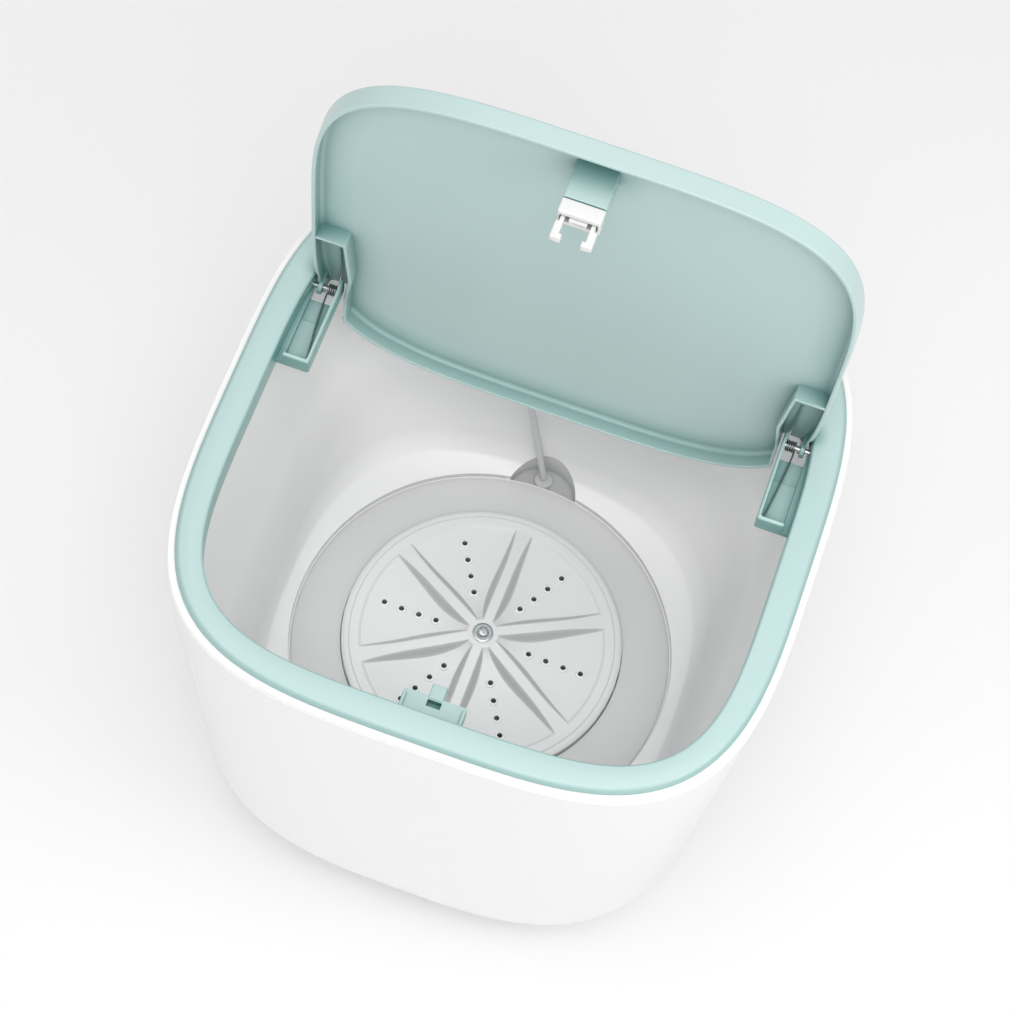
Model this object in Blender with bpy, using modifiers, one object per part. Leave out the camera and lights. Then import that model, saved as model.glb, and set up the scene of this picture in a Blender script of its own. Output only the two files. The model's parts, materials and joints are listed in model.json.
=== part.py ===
"""Portable mini washer: white housing and tub, mint rim and sprung lid, pulsator, drive and drain.

Metres, +Z up.  The feet stand on z = 0, the front faces -Y and the lid hinge runs along X.
The lid is drawn shut and turned open about its hinge, which is how it rests.
"""
import math

import bmesh
import bpy
from mathutils import Matrix, Vector

# ---- driving dimensions -------------------------------------------------------------------
TOP = 0.344                # top face of the rim above the floor
SIDES = 40                 # corners round every moulded outline
GAP = 0.0003               # air left between touching pieces
WALL = 0.0025              # moulded wall thickness

# mint rim: outer outline and the opening that the lid fills
RIM_HALF = 0.165
RIM_POWER = 3.63
OPENING_HALF_X = 0.1499
OPENING_HALF_Y = 0.1438
OPENING_Y = -0.0061
OPENING_POWER = 4.2
RIM_SKIRT = 0.018          # depth of the rim's inner wall
RIM_STRIP = 0.0037         # depth of its outer lip

# white housing
HOUSING_HALF = 0.171
HOUSING_DROP = 0.0073      # rim top to housing top
HOUSING_WAIST = 0.1615     # half width where the base rounding starts
ROUNDING_TOP = 0.2615      # rim top to the start of the rounding
ROUNDING_RISE = 0.0765
ROUNDING_INSET = 0.050
BASE_DROP = 0.338          # rim top to the underside of the housing
BASE_OPENING = 0.095
BASE_POWER = 2.6
WAIST_POWER = 3.18
PLATE_HALF = 0.105         # base plate that closes the opening from inside
PLATE_TOP = 0.3322
PLATE_BOTTOM = 0.3352
SCREW_RING = 0.100         # half width of the outline the base screws stand on
SCREW_TURN = math.radians(-20)
FOOT_PLACE = 0.064

# tub
AXLE_Y = -0.025            # the pulsator stands forward of centre, to leave room for the drain
FLOOR_RADIUS = 0.1155
RECESS_RADIUS = 0.0856
RECESS_DROP = 0.1935       # rim top to the floor of the pulsator's recess
HUB_HOLE = 0.010
MOUTH = 0.0029             # tub wall outside the rim's opening
FLANGE_HALF = 0.1705

# pulsator
PULSATOR_RADIUS = 0.0844
PULSATOR_RIM_DROP = 0.1834
PULSATOR_HUB_DROP = 0.176
RIB_COUNT = 6
RIB_TURN = math.radians(29)
RIB_WIDTH = 0.0044
RIB_REACH = 0.0765
HOLE_RADIUS = 0.0017
HOLE_FIRST = 0.0298
HOLE_STEP = 0.0111
HOLES_PER_ROW = 4

# lid
LID_HALF_X = 0.1492
LID_HALF_Y = 0.1426
LID_Y = -0.0066
LID_POWER = 3.92
LID_DEPTH = 0.012
LID_WALL = 0.0023
HINGE_Y = 0.074
HINGE_DROP = 0.0115        # rim top to the hinge axis
LID_OPEN = math.radians(88.5)
TONGUE_HALF = 0.1296       # half width of the lid behind its hinges
POCKET_FRONT = 0.071       # hinge axis to the front of each hinge pocket

# hinge hardware
PIN_RADIUS = 0.0015
PIN_HOLE = 0.0016
PIN_IN = 0.1309
PIN_OUT = 0.1478
COIL_RADIUS = 0.0029
COIL_IN = 0.1332
COIL_OUT = 0.1385
EAR_OUT = 0.1443
EAR_RADIUS = 0.0045
WIRE_RADIUS = 0.0005
TRAY_IN = 0.1304
TRAY_OUT = 0.1495
TRAY_FRONT = 0.0184
TRAY_BACK = 0.0796
TRAY_DROP = 0.0045
TRAY_DEEP = 0.017
SLOT_OUT = 0.1462

# latch on the lid and its keeper on the rim
LATCH_Y = -0.124
KEEPER_DROP = 0.036
LATCH_BODY_DROP = 0.0218
JAW_X = 0.008
JAW_PIVOT_DROP = 0.0285
SLIDER_DROP = 0.0349
JAW_TIP_DROP = 0.0463

# drive
SHAFT_RADIUS = 0.004
MOTOR_X = 0.078
MOTOR_Y = 0.020
MOTOR_RADIUS = 0.031
BELT_DROP = 0.243
BELT_HEIGHT = 0.006
BELT_THICKNESS = 0.002
BIG_GROOVE = 0.036
SMALL_GROOVE = 0.011

# drain
DRAIN_X = -0.001
DRAIN_Y = 0.0984
NICHE_X = 0.001
NICHE_Y = 0.0845
NICHE_RADIUS = 0.022
NICHE_DROP = 0.206
PLUG_TOP = 0.2036
PLUG_RADIUS = 0.0060
ROD_RADIUS = 0.0022
KNOB_X = -0.066
KNOB_Y = 0.151
OUTLET_DROP = 0.300
OUTLET_RADIUS = 0.0059
HOSE_OUTER = 0.0084
HOSE_INNER = 0.0065

# rear panel
PANEL_HALF = 0.036
PANEL_BACK = 0.158
PANEL_TOP = 0.212
PANEL_BOTTOM = 0.256
PANEL_FACE = 0.164
BUTTON_X = -0.016
INLET_X = 0.020
INLET_RADIUS = 0.0068

# control board
BOARD_BOTTOM = 0.3220

MINT = (0.60, 0.83, 0.80)
WHITE = (0.93, 0.93, 0.92)
PALE_GREY = (0.80, 0.80, 0.80)
STEEL = (0.62, 0.62, 0.63)
RUBBER = (0.08, 0.08, 0.08)
BOARD_GREEN = (0.05, 0.30, 0.16)


# ---- scene and materials ------------------------------------------------------------------
def clear_scene():
    for thing in list(bpy.data.objects):
        bpy.data.objects.remove(thing, do_unlink=True)


def new_collection(name):
    group = bpy.data.collections.new(name)
    bpy.context.scene.collection.children.link(group)
    return group


clear_scene()
PARTS = new_collection("portable_mini_washer")
CUTTERS = new_collection("cutters")


def paint(thing, colour, metallic=0.0, roughness=0.35):
    material = bpy.data.materials.new(thing.name)
    material.use_nodes = True
    shader = material.node_tree.nodes["Principled BSDF"]
    shader.inputs["Base Color"].default_value = (*colour, 1.0)
    shader.inputs["Metallic"].default_value = metallic
    shader.inputs["Roughness"].default_value = roughness
    thing.data.materials.clear()
    thing.data.materials.append(material)
    return thing


def steel(thing):
    return paint(thing, STEEL, 1.0, 0.3)


def rubber(thing):
    return paint(thing, RUBBER, 0.0, 0.8)


# ---- shape helpers ------------------------------------------------------------------------
def add_mesh(name, mesh, group=PARTS):
    thing = bpy.data.objects.new(name, mesh)
    group.objects.link(thing)
    if group is CUTTERS:
        thing.hide_render = True
        thing.display_type = "WIRE"
    return thing


def from_bmesh(name, bm, group=PARTS):
    mesh = bpy.data.meshes.new(name)
    bm.to_mesh(mesh)
    bm.free()
    return add_mesh(name, mesh, group)


def box(name, low, high, group=PARTS):
    bm = bmesh.new()
    low, high = Vector(low), Vector(high)
    size = high - low
    place = Matrix.Translation((low + high) / 2) @ Matrix.Diagonal((*size, 1.0))
    bmesh.ops.create_cube(bm, size=1.0, matrix=place)
    return from_bmesh(name, bm, group)


def add_cylinder(bm, start, end, radius, sides):
    start, end = Vector(start), Vector(end)
    along = end - start
    turn = along.to_track_quat("Z", "Y").to_matrix().to_4x4()
    place = Matrix.Translation((start + end) / 2) @ turn
    bmesh.ops.create_cone(bm, cap_ends=True, segments=sides, radius1=radius, radius2=radius,
                          depth=along.length, matrix=place)


def cylinder(name, start, end, radius, group=PARTS, sides=16):
    bm = bmesh.new()
    add_cylinder(bm, start, end, radius, sides)
    return from_bmesh(name, bm, group)


def cylinders(name, spans, radius, group=CUTTERS, sides=12):
    """Several separate cylinders in one cutter."""
    bm = bmesh.new()
    for start, end in spans:
        add_cylinder(bm, start, end, radius, sides)
    return from_bmesh(name, bm, group)


def turned(name, profile, centre, group=PARTS, steps=32, closed=False):
    """Body turned about a vertical axis from (radius, height) points, listed downwards."""
    mesh = bpy.data.meshes.new(name)
    points = [(radius, 0.0, height) for radius, height in profile]
    edges = [(i, i + 1) for i in range(len(points) - 1)]
    if closed:
        edges.append((len(points) - 1, 0))
    mesh.from_pydata(points, edges, [])
    thing = add_mesh(name, mesh, group)
    thing.location = centre
    spin = thing.modifiers.new("turn", "SCREW")
    spin.axis = "Z"
    spin.steps = steps
    spin.render_steps = steps
    spin.use_merge_vertices = True
    spin.merge_threshold = 0.00001
    return thing


def superellipse(half_x, half_y, power, centre_y=0.0):
    points = []
    for i in range(SIDES):
        angle = 2 * math.pi * i / SIDES
        c, s = math.cos(angle), math.sin(angle)
        reach = (abs(c / half_x) ** power + abs(s / half_y) ** power) ** (-1 / power)
        points.append((reach * c, centre_y + reach * s))
    return points


def loft(name, rings, group=PARTS, caps=False, loop=False, open_end=False):
    """Skin between rings of (outline, height), each with SIDES corners, listed downwards."""
    bm = bmesh.new()
    rows = []
    for outline, height in rings:
        rows.append([bm.verts.new((x, y, height)) for x, y in outline])
    pairs = list(zip(rows, rows[1:]))
    if loop:
        pairs.append((rows[-1], rows[0]))
    for upper, lower in pairs:
        for i in range(SIDES):
            j = (i + 1) % SIDES
            bm.faces.new((upper[i], lower[i], lower[j], upper[j]))
    if caps or open_end:
        bm.faces.new(rows[0])
    if caps:
        bm.faces.new(rows[-1][::-1])
    return from_bmesh(name, bm, group)


def slab(name, outline, low, high, group=PARTS):
    """Flat outline in plan, raised between two heights."""
    curve = bpy.data.curves.new(name, "CURVE")
    curve.dimensions = "2D"
    curve.fill_mode = "BOTH"
    curve.extrude = (high - low) / 2
    line = curve.splines.new("POLY")
    line.points.add(len(outline) - 1)
    for point, (x, y) in zip(line.points, outline):
        point.co = (x, y, 0.0, 1.0)
    line.use_cyclic_u = True
    draft = bpy.data.objects.new(name + "_outline", curve)
    CUTTERS.objects.link(draft)
    mesh = bpy.data.meshes.new_from_object(draft)
    bpy.data.objects.remove(draft, do_unlink=True)
    bm = bmesh.new()
    bm.from_mesh(mesh)
    bmesh.ops.remove_doubles(bm, verts=bm.verts, dist=0.000001)
    bmesh.ops.translate(bm, verts=bm.verts, vec=(0, 0, (low + high) / 2))
    bmesh.ops.recalc_face_normals(bm, faces=bm.faces)
    return from_bmesh(name, bm, group)


def wire(name, path, radius, group=PARTS, resolution=2):
    """Round bar along a path, with flat ends."""
    curve = bpy.data.curves.new(name, "CURVE")
    curve.dimensions = "3D"
    curve.bevel_depth = radius
    curve.bevel_resolution = resolution
    curve.use_fill_caps = True
    line = curve.splines.new("POLY")
    line.points.add(len(path) - 1)
    for point, place in zip(line.points, path):
        point.co = (*place, 1.0)
    draft = bpy.data.objects.new(name + "_path", curve)
    CUTTERS.objects.link(draft)
    mesh = bpy.data.meshes.new_from_object(draft)
    bpy.data.objects.remove(draft, do_unlink=True)
    bm = bmesh.new()
    bm.from_mesh(mesh)
    bmesh.ops.remove_doubles(bm, verts=bm.verts, dist=0.000001)
    bmesh.ops.recalc_face_normals(bm, faces=bm.faces)
    return from_bmesh(name, bm, group)


def thicken(thing, thickness, offset=-1.0):
    shell = thing.modifiers.new("wall", "SOLIDIFY")
    shell.thickness = thickness
    shell.offset = offset
    shell.use_even_offset = True


def combine(thing, other, operation):
    tool = thing.modifiers.new(other.name, "BOOLEAN")
    tool.solver = "EXACT"
    tool.operation = operation
    tool.object = other
    return thing


def join(thing, *others):
    for other in others:
        combine(thing, other, "UNION")
    return thing


def cut(thing, *others):
    for other in others:
        combine(thing, other, "DIFFERENCE")
    return thing


def trim(thing, other):
    return combine(thing, other, "INTERSECT")


def soften(thing, width, segments=2):
    edge = thing.modifiers.new("edges", "BEVEL")
    edge.width = width
    edge.segments = segments
    edge.limit_method = "ANGLE"


def below(drop):
    """Height of a point that lies this far under the rim's top face."""
    return TOP - drop


def rim_outline(grow):
    return superellipse(RIM_HALF + grow, RIM_HALF + grow, RIM_POWER)


def opening_outline(grow):
    return superellipse(OPENING_HALF_X + grow, OPENING_HALF_Y + grow, OPENING_POWER, OPENING_Y)


def lid_outline(grow):
    return superellipse(LID_HALF_X + grow, LID_HALF_Y + grow, LID_POWER, LID_Y)


# ---- housing ------------------------------------------------------------------------------
def housing_rings():
    rings = []
    rings.append((superellipse(HOUSING_HALF, HOUSING_HALF, RIM_POWER), below(HOUSING_DROP)))
    steps = 5
    for i in range(steps + 1):
        angle = math.pi / 2 * i / steps
        lean = 1 - math.cos(angle)
        half = HOUSING_WAIST - ROUNDING_INSET * lean
        power = WAIST_POWER + (BASE_POWER - WAIST_POWER) * lean
        drop = ROUNDING_TOP + ROUNDING_RISE * math.sin(angle)
        rings.append((superellipse(half, half, power), below(drop)))
    rings.append((superellipse(BASE_OPENING, BASE_OPENING, BASE_POWER), below(BASE_DROP)))
    return rings


def base_screw_places():
    places = []
    for quarter in range(4):
        angle = SCREW_TURN + math.pi / 2 * quarter
        c, s = math.cos(angle), math.sin(angle)
        reach = SCREW_RING * (abs(c) ** BASE_POWER + abs(s) ** BASE_POWER) ** (-1 / BASE_POWER)
        places.append((reach * c, reach * s))
    return places


def base_screw_holes(name):
    spans = [((x, y, below(0.345)), (x, y, below(0.330))) for x, y in base_screw_places()]
    return cylinders(name, spans, 0.0019, sides=8)


def build_housing():
    shell = loft("outer_shell", housing_rings())
    thicken(shell, WALL)
    panel_hole = box("panel_hole", (-PANEL_HALF - GAP, 0.150, below(PANEL_BOTTOM) - GAP),
                     (PANEL_HALF + GAP, 0.175, below(PANEL_TOP) + GAP), CUTTERS)
    level = below(OUTLET_DROP)
    outlet_hole = cylinder("outlet_hole", (DRAIN_X, 0.140, level), (DRAIN_X, 0.170, level),
                           OUTLET_RADIUS + 0.0005, CUTTERS)
    cut(shell, panel_hole, outlet_hole, base_screw_holes("housing_screw_holes_below"))
    return paint(shell, WHITE)


def build_base():
    outline = superellipse(PLATE_HALF, PLATE_HALF, BASE_POWER)
    plate = loft("base_plate", [(outline, below(PLATE_TOP)), (outline, below(PLATE_BOTTOM))], caps=True)
    cut(plate, base_screw_holes("plate_screw_holes"))
    for i, (x, y) in enumerate(board_corners()):
        low, high = below(PLATE_BOTTOM - 0.001), below(BOARD_BOTTOM) - GAP
        join(plate, cylinder("board_post_%d" % i, (x, y, low), (x, y, high), 0.003, CUTTERS, 12))
    paint(plate, WHITE)
    for i, (x, y) in enumerate(base_screw_places()):
        steel(pan_screw("base_screw_%d" % (i + 1), (x, y, below(0.3383)), -1, 0.0032, 0.0016, 0.010))
    top = below(PLATE_BOTTOM) - GAP
    profile = [(0.0, top), (0.009, top), (0.0115, 0.003), (0.0105, 0.0), (0.0, 0.0)]
    for i, (sx, sy) in enumerate(((1, 1), (-1, 1), (-1, -1), (1, -1))):
        place = (sx * FOOT_PLACE, sy * FOOT_PLACE, 0)
        rubber(turned("foot_%d" % (i + 1), profile, place, steps=12))


def pan_screw(name, head_base, direction, head, shank, length):
    """Screw whose head stands off head_base in the given vertical direction."""
    x, y, z = head_base
    rise = direction * 0.0020
    profile = [(0.0, rise), (head * 0.8, rise), (head, 0.0),
               (shank, 0.0), (shank, -direction * length), (0.0, -direction * length)]
    if direction < 0:
        profile.reverse()
    return turned(name, profile, (x, y, z), steps=8)


# ---- tub ----------------------------------------------------------------------------------
def wall_rings(grow=0.0):
    """Inside of the tub wall, from under the rim down to the round floor."""
    rings = [(opening_outline(MOUTH + grow), below(0.0040 + grow))]
    rings.append((opening_outline(MOUTH + grow), below(0.0200 + grow)))
    steps = (
        (0.1200, 0.1455, 3.7, -0.0095),
        (0.1600, 0.1390, 3.3, -0.0160),
        (0.1840, 0.1310, 3.0, -0.0220),
        (0.1950, 0.1225, 2.6, AXLE_Y),
        (0.1998, 0.1175, 2.1, AXLE_Y),
    )
    for drop, half, power, y in steps:
        rings.append((superellipse(half + grow, half + grow, power, y), below(drop + grow)))
    return rings


def disc_ring(radius, drop):
    return superellipse(radius, radius, 2.0, AXLE_Y), below(drop)


def tub_rings():
    flange = superellipse(FLANGE_HALF, FLANGE_HALF, RIM_POWER)
    rings = [(flange, below(0.0040))] + wall_rings()
    rings.append(disc_ring(FLOOR_RADIUS, 0.2005))
    rings.append(disc_ring(RECESS_RADIUS, 0.1885))
    rings.append(disc_ring(RECESS_RADIUS - 0.0003, RECESS_DROP))
    rings.append(disc_ring(HUB_HOLE, RECESS_DROP))
    return rings


def housing_screw_places():
    places = []
    for i in range(3):
        angle = math.radians(90 + 120 * i)
        places.append((0.048 * math.cos(angle), AXLE_Y + 0.048 * math.sin(angle)))
    return places


def build_tub():
    tub = loft("inner_tub", tub_rings())
    thicken(tub, WALL, 1.0)
    floor = disc_ring(FLOOR_RADIUS, 0.2014)
    cavity = loft("tub_cavity", wall_rings(0.0009) + [floor], CUTTERS, caps=True)
    niche = cylinder("niche_wall", (NICHE_X, NICHE_Y, below(NICHE_DROP + WALL)),
                     (NICHE_X, NICHE_Y, below(0.184)), NICHE_RADIUS + WALL, CUTTERS, 32)
    disc = cylinder("floor_disc", (0, AXLE_Y, below(0.215)), (0, AXLE_Y, below(0.170)),
                    FLOOR_RADIUS + 0.0006, CUTTERS, SIDES)
    cut(niche, cavity)
    join(tub, niche)
    hollow = cylinder("niche_hollow", (NICHE_X, NICHE_Y, below(NICHE_DROP)),
                      (NICHE_X, NICHE_Y, below(0.180)), NICHE_RADIUS, CUTTERS, 32)
    cut(hollow, disc)
    drain_hole = cylinder("drain_hole", (DRAIN_X, DRAIN_Y, below(0.215)),
                          (DRAIN_X, DRAIN_Y, below(0.200)), 0.0050, CUTTERS)
    bosses = [((x, y, below(0.2060)), (x, y, below(0.1948))) for x, y in housing_screw_places()]
    boss = cylinders("screw_bosses", bosses, 0.004)
    pilots = [((x, y, below(0.2070)), (x, y, below(0.1970))) for x, y in housing_screw_places()]
    pilot = cylinders("screw_pilots", pilots, 0.0016)
    join(tub, boss)
    cut(tub, hollow, drain_hole, pilot, rod_passage("tub_rod_passage"))
    return paint(tub, WHITE)


# ---- rim ----------------------------------------------------------------------------------
def rim_section():
    return [
        (rim_outline(-0.0006), TOP),
        (rim_outline(0.0004), below(0.0008)),
        (rim_outline(0.0023), below(RIM_STRIP)),
        (rim_outline(-0.0004), below(RIM_STRIP)),
        (rim_outline(-0.0022), below(WALL)),
        (opening_outline(0.0025), below(WALL)),
        (opening_outline(0.0025), below(RIM_SKIRT)),
        (opening_outline(0.0), below(RIM_SKIRT)),
        (opening_outline(0.0), below(0.0012)),
        (opening_outline(0.0010), TOP),
    ]


def span(side, near, far):
    """Low and high x for a piece between two distances from the middle, on one side."""
    return (near, far) if side > 0 else (-far, -near)


def hinge_tray(side, word, mould):
    far_back = TRAY_BACK + 0.01
    low, high = span(side, TRAY_IN, 0.156)
    tray = box("tray_" + word, (low, TRAY_FRONT, below(TRAY_DEEP)),
               (high, TRAY_BACK, below(TRAY_DROP)), CUTTERS)
    low, high = span(side, TRAY_IN + 0.002, SLOT_OUT)
    hollow = box("tray_hollow_" + word, (low, TRAY_FRONT + 0.0022, below(TRAY_DEEP - 0.002)),
                 (high, far_back, TOP), CUTTERS)
    window = box("tray_window_" + word, (low, 0.0665, below(0.030)), (high, far_back, TOP), CUTTERS)
    low, high = span(side, SLOT_OUT - 0.0004, 0.160)
    notch = box("tray_notch_" + word, (low, 0.0, below(0.0125)), (high, far_back, TOP + 0.01), CUTTERS)
    trim(tray, mould)
    return cut(tray, hollow, window, notch)


def rod_passage(name):
    """Hole that the slanting drain rod slides in."""
    seat, grip = rod_ends()
    slope = (grip - seat).normalized()
    return cylinder(name, grip - slope * 0.090, grip + slope * 0.010, ROD_RADIUS + 0.0008, CUTTERS)


def ear_slot(side, word):
    """Slot in the rim's inner edge that the lid's hinge ear swings in."""
    low, high = span(side, 0.1400, SLOT_OUT)
    return box("ear_slot_" + word, (low, 0.0660, below(0.0160)), (high, 0.0866, TOP + 0.01), CUTTERS)


def keeper(mould):
    """Shelf that hangs inside the front wall and carries the tongue for the lid's latch."""
    foot = KEEPER_DROP + 0.010
    block = box("keeper", (-0.018, -0.156, below(foot)), (0.018, -0.127, below(0.013)), CUTTERS)
    above = box("keeper_above", (-0.020, -0.1474, below(KEEPER_DROP)), (0.020, -0.120, TOP), CUTTERS)
    slot = box("keeper_slot", (-0.008, -0.1345, below(KEEPER_DROP + 0.005)), (0.008, -0.1300, TOP), CUTTERS)
    trim(block, mould)
    return cut(block, above, slot)


def keeper_tongue():
    return box("keeper_tongue", (-0.0042, -0.1286, below(KEEPER_DROP + 0.0046)),
               (0.0042, -0.1195, below(KEEPER_DROP - 0.0004)), CUTTERS)


def hinge_hole(name, ends):
    low, high = ends
    axis = below(HINGE_DROP)
    return cylinder(name, (low, HINGE_Y, axis), (high, HINGE_Y, axis), PIN_HOLE, CUTTERS)


def build_rim():
    rim = loft("top_ring", rim_section(), loop=True)
    embedded = opening_outline(0.0012)
    mould = loft("rim_mould", [(embedded, TOP + 0.020), (embedded, below(0.060))], CUTTERS, caps=True)
    for side, word in ((-1, "left"), (1, "right")):
        join(rim, hinge_tray(side, word, mould))
        cut(rim, ear_slot(side, word))
        low, high = span(side, 0.1302, 0.156)
        cheek = box("cheek_" + word, (low, 0.0872, below(0.012)), (high, 0.118, below(0.0004)), CUTTERS)
        join(rim, trim(cheek, mould))
        cut(rim, hinge_hole("rim_pin_hole_" + word, span(side, PIN_IN - GAP, PIN_OUT + GAP)))
    join(rim, keeper(mould), keeper_tongue())
    cut(rim, rod_passage("rim_rod_passage"))
    return paint(rim, MINT)


# ---- lid ----------------------------------------------------------------------------------
def hinge_frame():
    """Empty on the hinge axis; the lid's pieces hang from it and turn open with it."""
    frame = bpy.data.objects.new("lid_axis", None)
    frame.location = (0, HINGE_Y, below(HINGE_DROP))
    frame.rotation_euler = (-LID_OPEN, 0, 0)
    PARTS.objects.link(frame)
    return frame


def hang(thing, frame):
    """Parent a piece that was drawn with the lid shut."""
    shift = Vector((0, HINGE_Y, below(HINGE_DROP)))
    thing.parent = frame
    thing.location = thing.location - shift
    return thing


def pocket_wall(side, word):
    edge = TONGUE_HALF - 0.0002
    path = [(0.1471, -POCKET_FRONT), (0.1300, -POCKET_FRONT), (0.1260, -0.024),
            (edge, 0.005), (edge, 0.0345)]
    inner = [(0.1472, -POCKET_FRONT - 0.002), (0.1282, -POCKET_FRONT - 0.002), (0.1239, -0.024),
             (edge - 0.0020, 0.0052), (edge - 0.0020, 0.0345)]
    outline = path + inner[::-1]
    outline = [(side * x, HINGE_Y + y) for x, y in outline]
    return slab("pocket_wall_" + word, outline, below(LID_DEPTH - 0.0002), below(0.0011), CUTTERS)


def lid_ear(side, word):
    low, high = span(side, EAR_OUT - 0.0029, EAR_OUT - 0.0002)
    axis = below(HINGE_DROP)
    round_end = cylinder("ear_round_" + word, (low, HINGE_Y, axis), (high, HINGE_Y, axis),
                         EAR_RADIUS, CUTTERS)
    root = box("ear_root_" + word, (low, HINGE_Y - EAR_RADIUS, axis),
               (high, HINGE_Y + EAR_RADIUS, below(0.0012)), CUTTERS)
    return round_end, root


def ear_taper(side, word):
    """Cutter that narrows the lid towards its ears, so that it clears the rim as it opens."""
    outline = [(EAR_OUT, 0.020), (EAR_OUT, -0.0125), (0.1530, -0.0300), (0.1600, 0.020)]
    outline = [(side * x, HINGE_Y + y) for x, y in outline]
    return slab("ear_taper_" + word, outline, below(0.030), TOP + 0.010, CUTTERS)


def build_lid(frame):
    rings = [(lid_outline(-0.0002), TOP), (lid_outline(-0.0010), below(LID_DEPTH))]
    lid = loft("lid_shell", rings, open_end=True)
    thicken(lid, LID_WALL)
    soften(lid, 0.0010, 1)
    tools = []
    for side, word in ((-1, "left"), (1, "right")):
        low, high = span(side, TONGUE_HALF, 0.160)
        notch = box("lid_notch_" + word, (low, HINGE_Y + 0.005, below(0.020)),
                    (high, HINGE_Y + 0.040, TOP + 0.005), CUTTERS)
        taper = ear_taper(side, word)
        cut(lid, notch, taper)
        added = [pocket_wall(side, word), *lid_ear(side, word)]
        join(lid, *added)
        hole = hinge_hole("ear_hole_" + word, span(side, 0.138, 0.150))
        cut(lid, hole)
        tools += [notch, taper, hole] + added
    bracket = box("latch_bracket", (-0.0112, LATCH_Y - 0.006, below(LATCH_BODY_DROP) + GAP),
                  (0.0112, LATCH_Y + 0.006, below(0.0012)), CUTTERS)
    socket = box("latch_socket", (-0.0091, LATCH_Y - 0.0042, below(0.030)),
                 (0.0091, LATCH_Y + 0.0042, below(0.0120)), CUTTERS)
    join(lid, bracket)
    cut(lid, socket)
    for thing in tools + [bracket, socket, lid]:
        hang(thing, frame)
    return paint(lid, MINT)


# ---- latch --------------------------------------------------------------------------------
def latch_jaw(side, word):
    near, far = LATCH_Y - 0.0022, LATCH_Y + 0.0022
    low, high = span(side, JAW_X - 0.0011, JAW_X + 0.0011)
    jaw = box("latch_jaw_" + word, (low, near, below(JAW_TIP_DROP)), (high, far, below(0.0262)))
    low, high = span(side, JAW_X - 0.0028, JAW_X - 0.0005)
    hook = box("jaw_hook_" + word, (low, near, below(JAW_TIP_DROP)),
               (high, far, below(JAW_TIP_DROP - 0.003)), CUTTERS)
    x, z = side * JAW_X, below(JAW_PIVOT_DROP)
    hole = cylinder("jaw_hole_" + word, (x, LATCH_Y - 0.004, z), (x, LATCH_Y + 0.004, z),
                    0.0007, CUTTERS, 12)
    join(jaw, hook)
    cut(jaw, hole)
    pin = cylinder("latch_pin_" + word, (x, LATCH_Y - 0.0052, z), (x, LATCH_Y + 0.0052, z),
                   0.0006, PARTS, 12)
    paint(jaw, WHITE)
    steel(pin)
    return [hook, hole, jaw, pin]


def latch_pin_holes():
    spans = []
    for x in (-JAW_X, JAW_X):
        z = below(JAW_PIVOT_DROP)
        spans.append(((x, LATCH_Y - 0.0055, z), (x, LATCH_Y + 0.0055, z)))
    return cylinders("latch_pin_holes", spans, 0.0007)


def latch_box(name, half_x, half_y, bottom, top, group=CUTTERS):
    low = (-half_x, LATCH_Y - half_y, below(bottom))
    return box(name, low, (half_x, LATCH_Y + half_y, below(top)), group)


def build_latch(frame):
    body = latch_box("latch_body", 0.0113, 0.0060, 0.0335, LATCH_BODY_DROP, PARTS)
    stem = latch_box("latch_stem", 0.0088, 0.0039, 0.0230, 0.0124)
    slot = latch_box("latch_slot", 0.0099, 0.0027, 0.0360, 0.0246)
    well = cylinder("latch_well", (0, LATCH_Y, below(0.0300)), (0, LATCH_Y, below(0.0150)), 0.0026, CUTTERS)
    pin_holes = latch_pin_holes()
    join(body, stem)
    cut(body, slot, well, pin_holes)
    paint(body, WHITE)
    slider = latch_box("latch_slider", 0.0048, 0.0023, SLIDER_DROP, 0.0290, PARTS)
    paint(slider, WHITE)
    path = coil_path((0, LATCH_Y, below(0.0287)), (0, LATCH_Y, below(0.0154)), 0.0018, 4, 6)
    spring = steel(wire("latch_spring", path, 0.0003, resolution=0))
    pieces = [stem, slot, well, pin_holes, body, slider, spring]
    for side, word in ((-1, "left"), (1, "right")):
        pieces += latch_jaw(side, word)
    for thing in pieces:
        hang(thing, frame)


def coil_path(start, end, radius, turns, per_turn):
    start, end = Vector(start), Vector(end)
    along = (end - start).normalized()
    across = along.orthogonal().normalized()
    beside = along.cross(across)
    count = turns * per_turn
    points = []
    for i in range(count + 1):
        angle = 2 * math.pi * i / per_turn
        centre = start.lerp(end, i / count)
        points.append(centre + radius * (math.cos(angle) * across + math.sin(angle) * beside))
    return points


# ---- hinge pins and springs ---------------------------------------------------------------
def coil_with_leg(side):
    """Torsion coil round the hinge pin, running out into its straight leg in the rim's tray."""
    turns = 3
    per_turn = 8
    points = []
    count = turns * per_turn
    for i in range(count + 1):
        angle = 2 * math.pi * i / per_turn - math.pi / 2
        x = side * (COIL_OUT + (COIL_IN - COIL_OUT) * i / count)
        y = HINGE_Y + COIL_RADIUS * math.cos(angle)
        points.append((x, y, below(HINGE_DROP) + COIL_RADIUS * math.sin(angle)))
    points.append((side * 0.1335, 0.060, below(0.0143)))
    points.append((side * 0.1348, 0.0245, below(0.0142)))
    return points


def lid_leg_path(side):
    """The same wire's other leg, which lies in the lid's hinge pocket."""
    return [
        (side * 0.1390, HINGE_Y - 0.0040, below(0.0096)),
        (side * 0.1386, HINGE_Y - 0.0085, below(0.0050)),
        (side * 0.1375, HINGE_Y - 0.0340, below(0.0034)),
    ]


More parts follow.
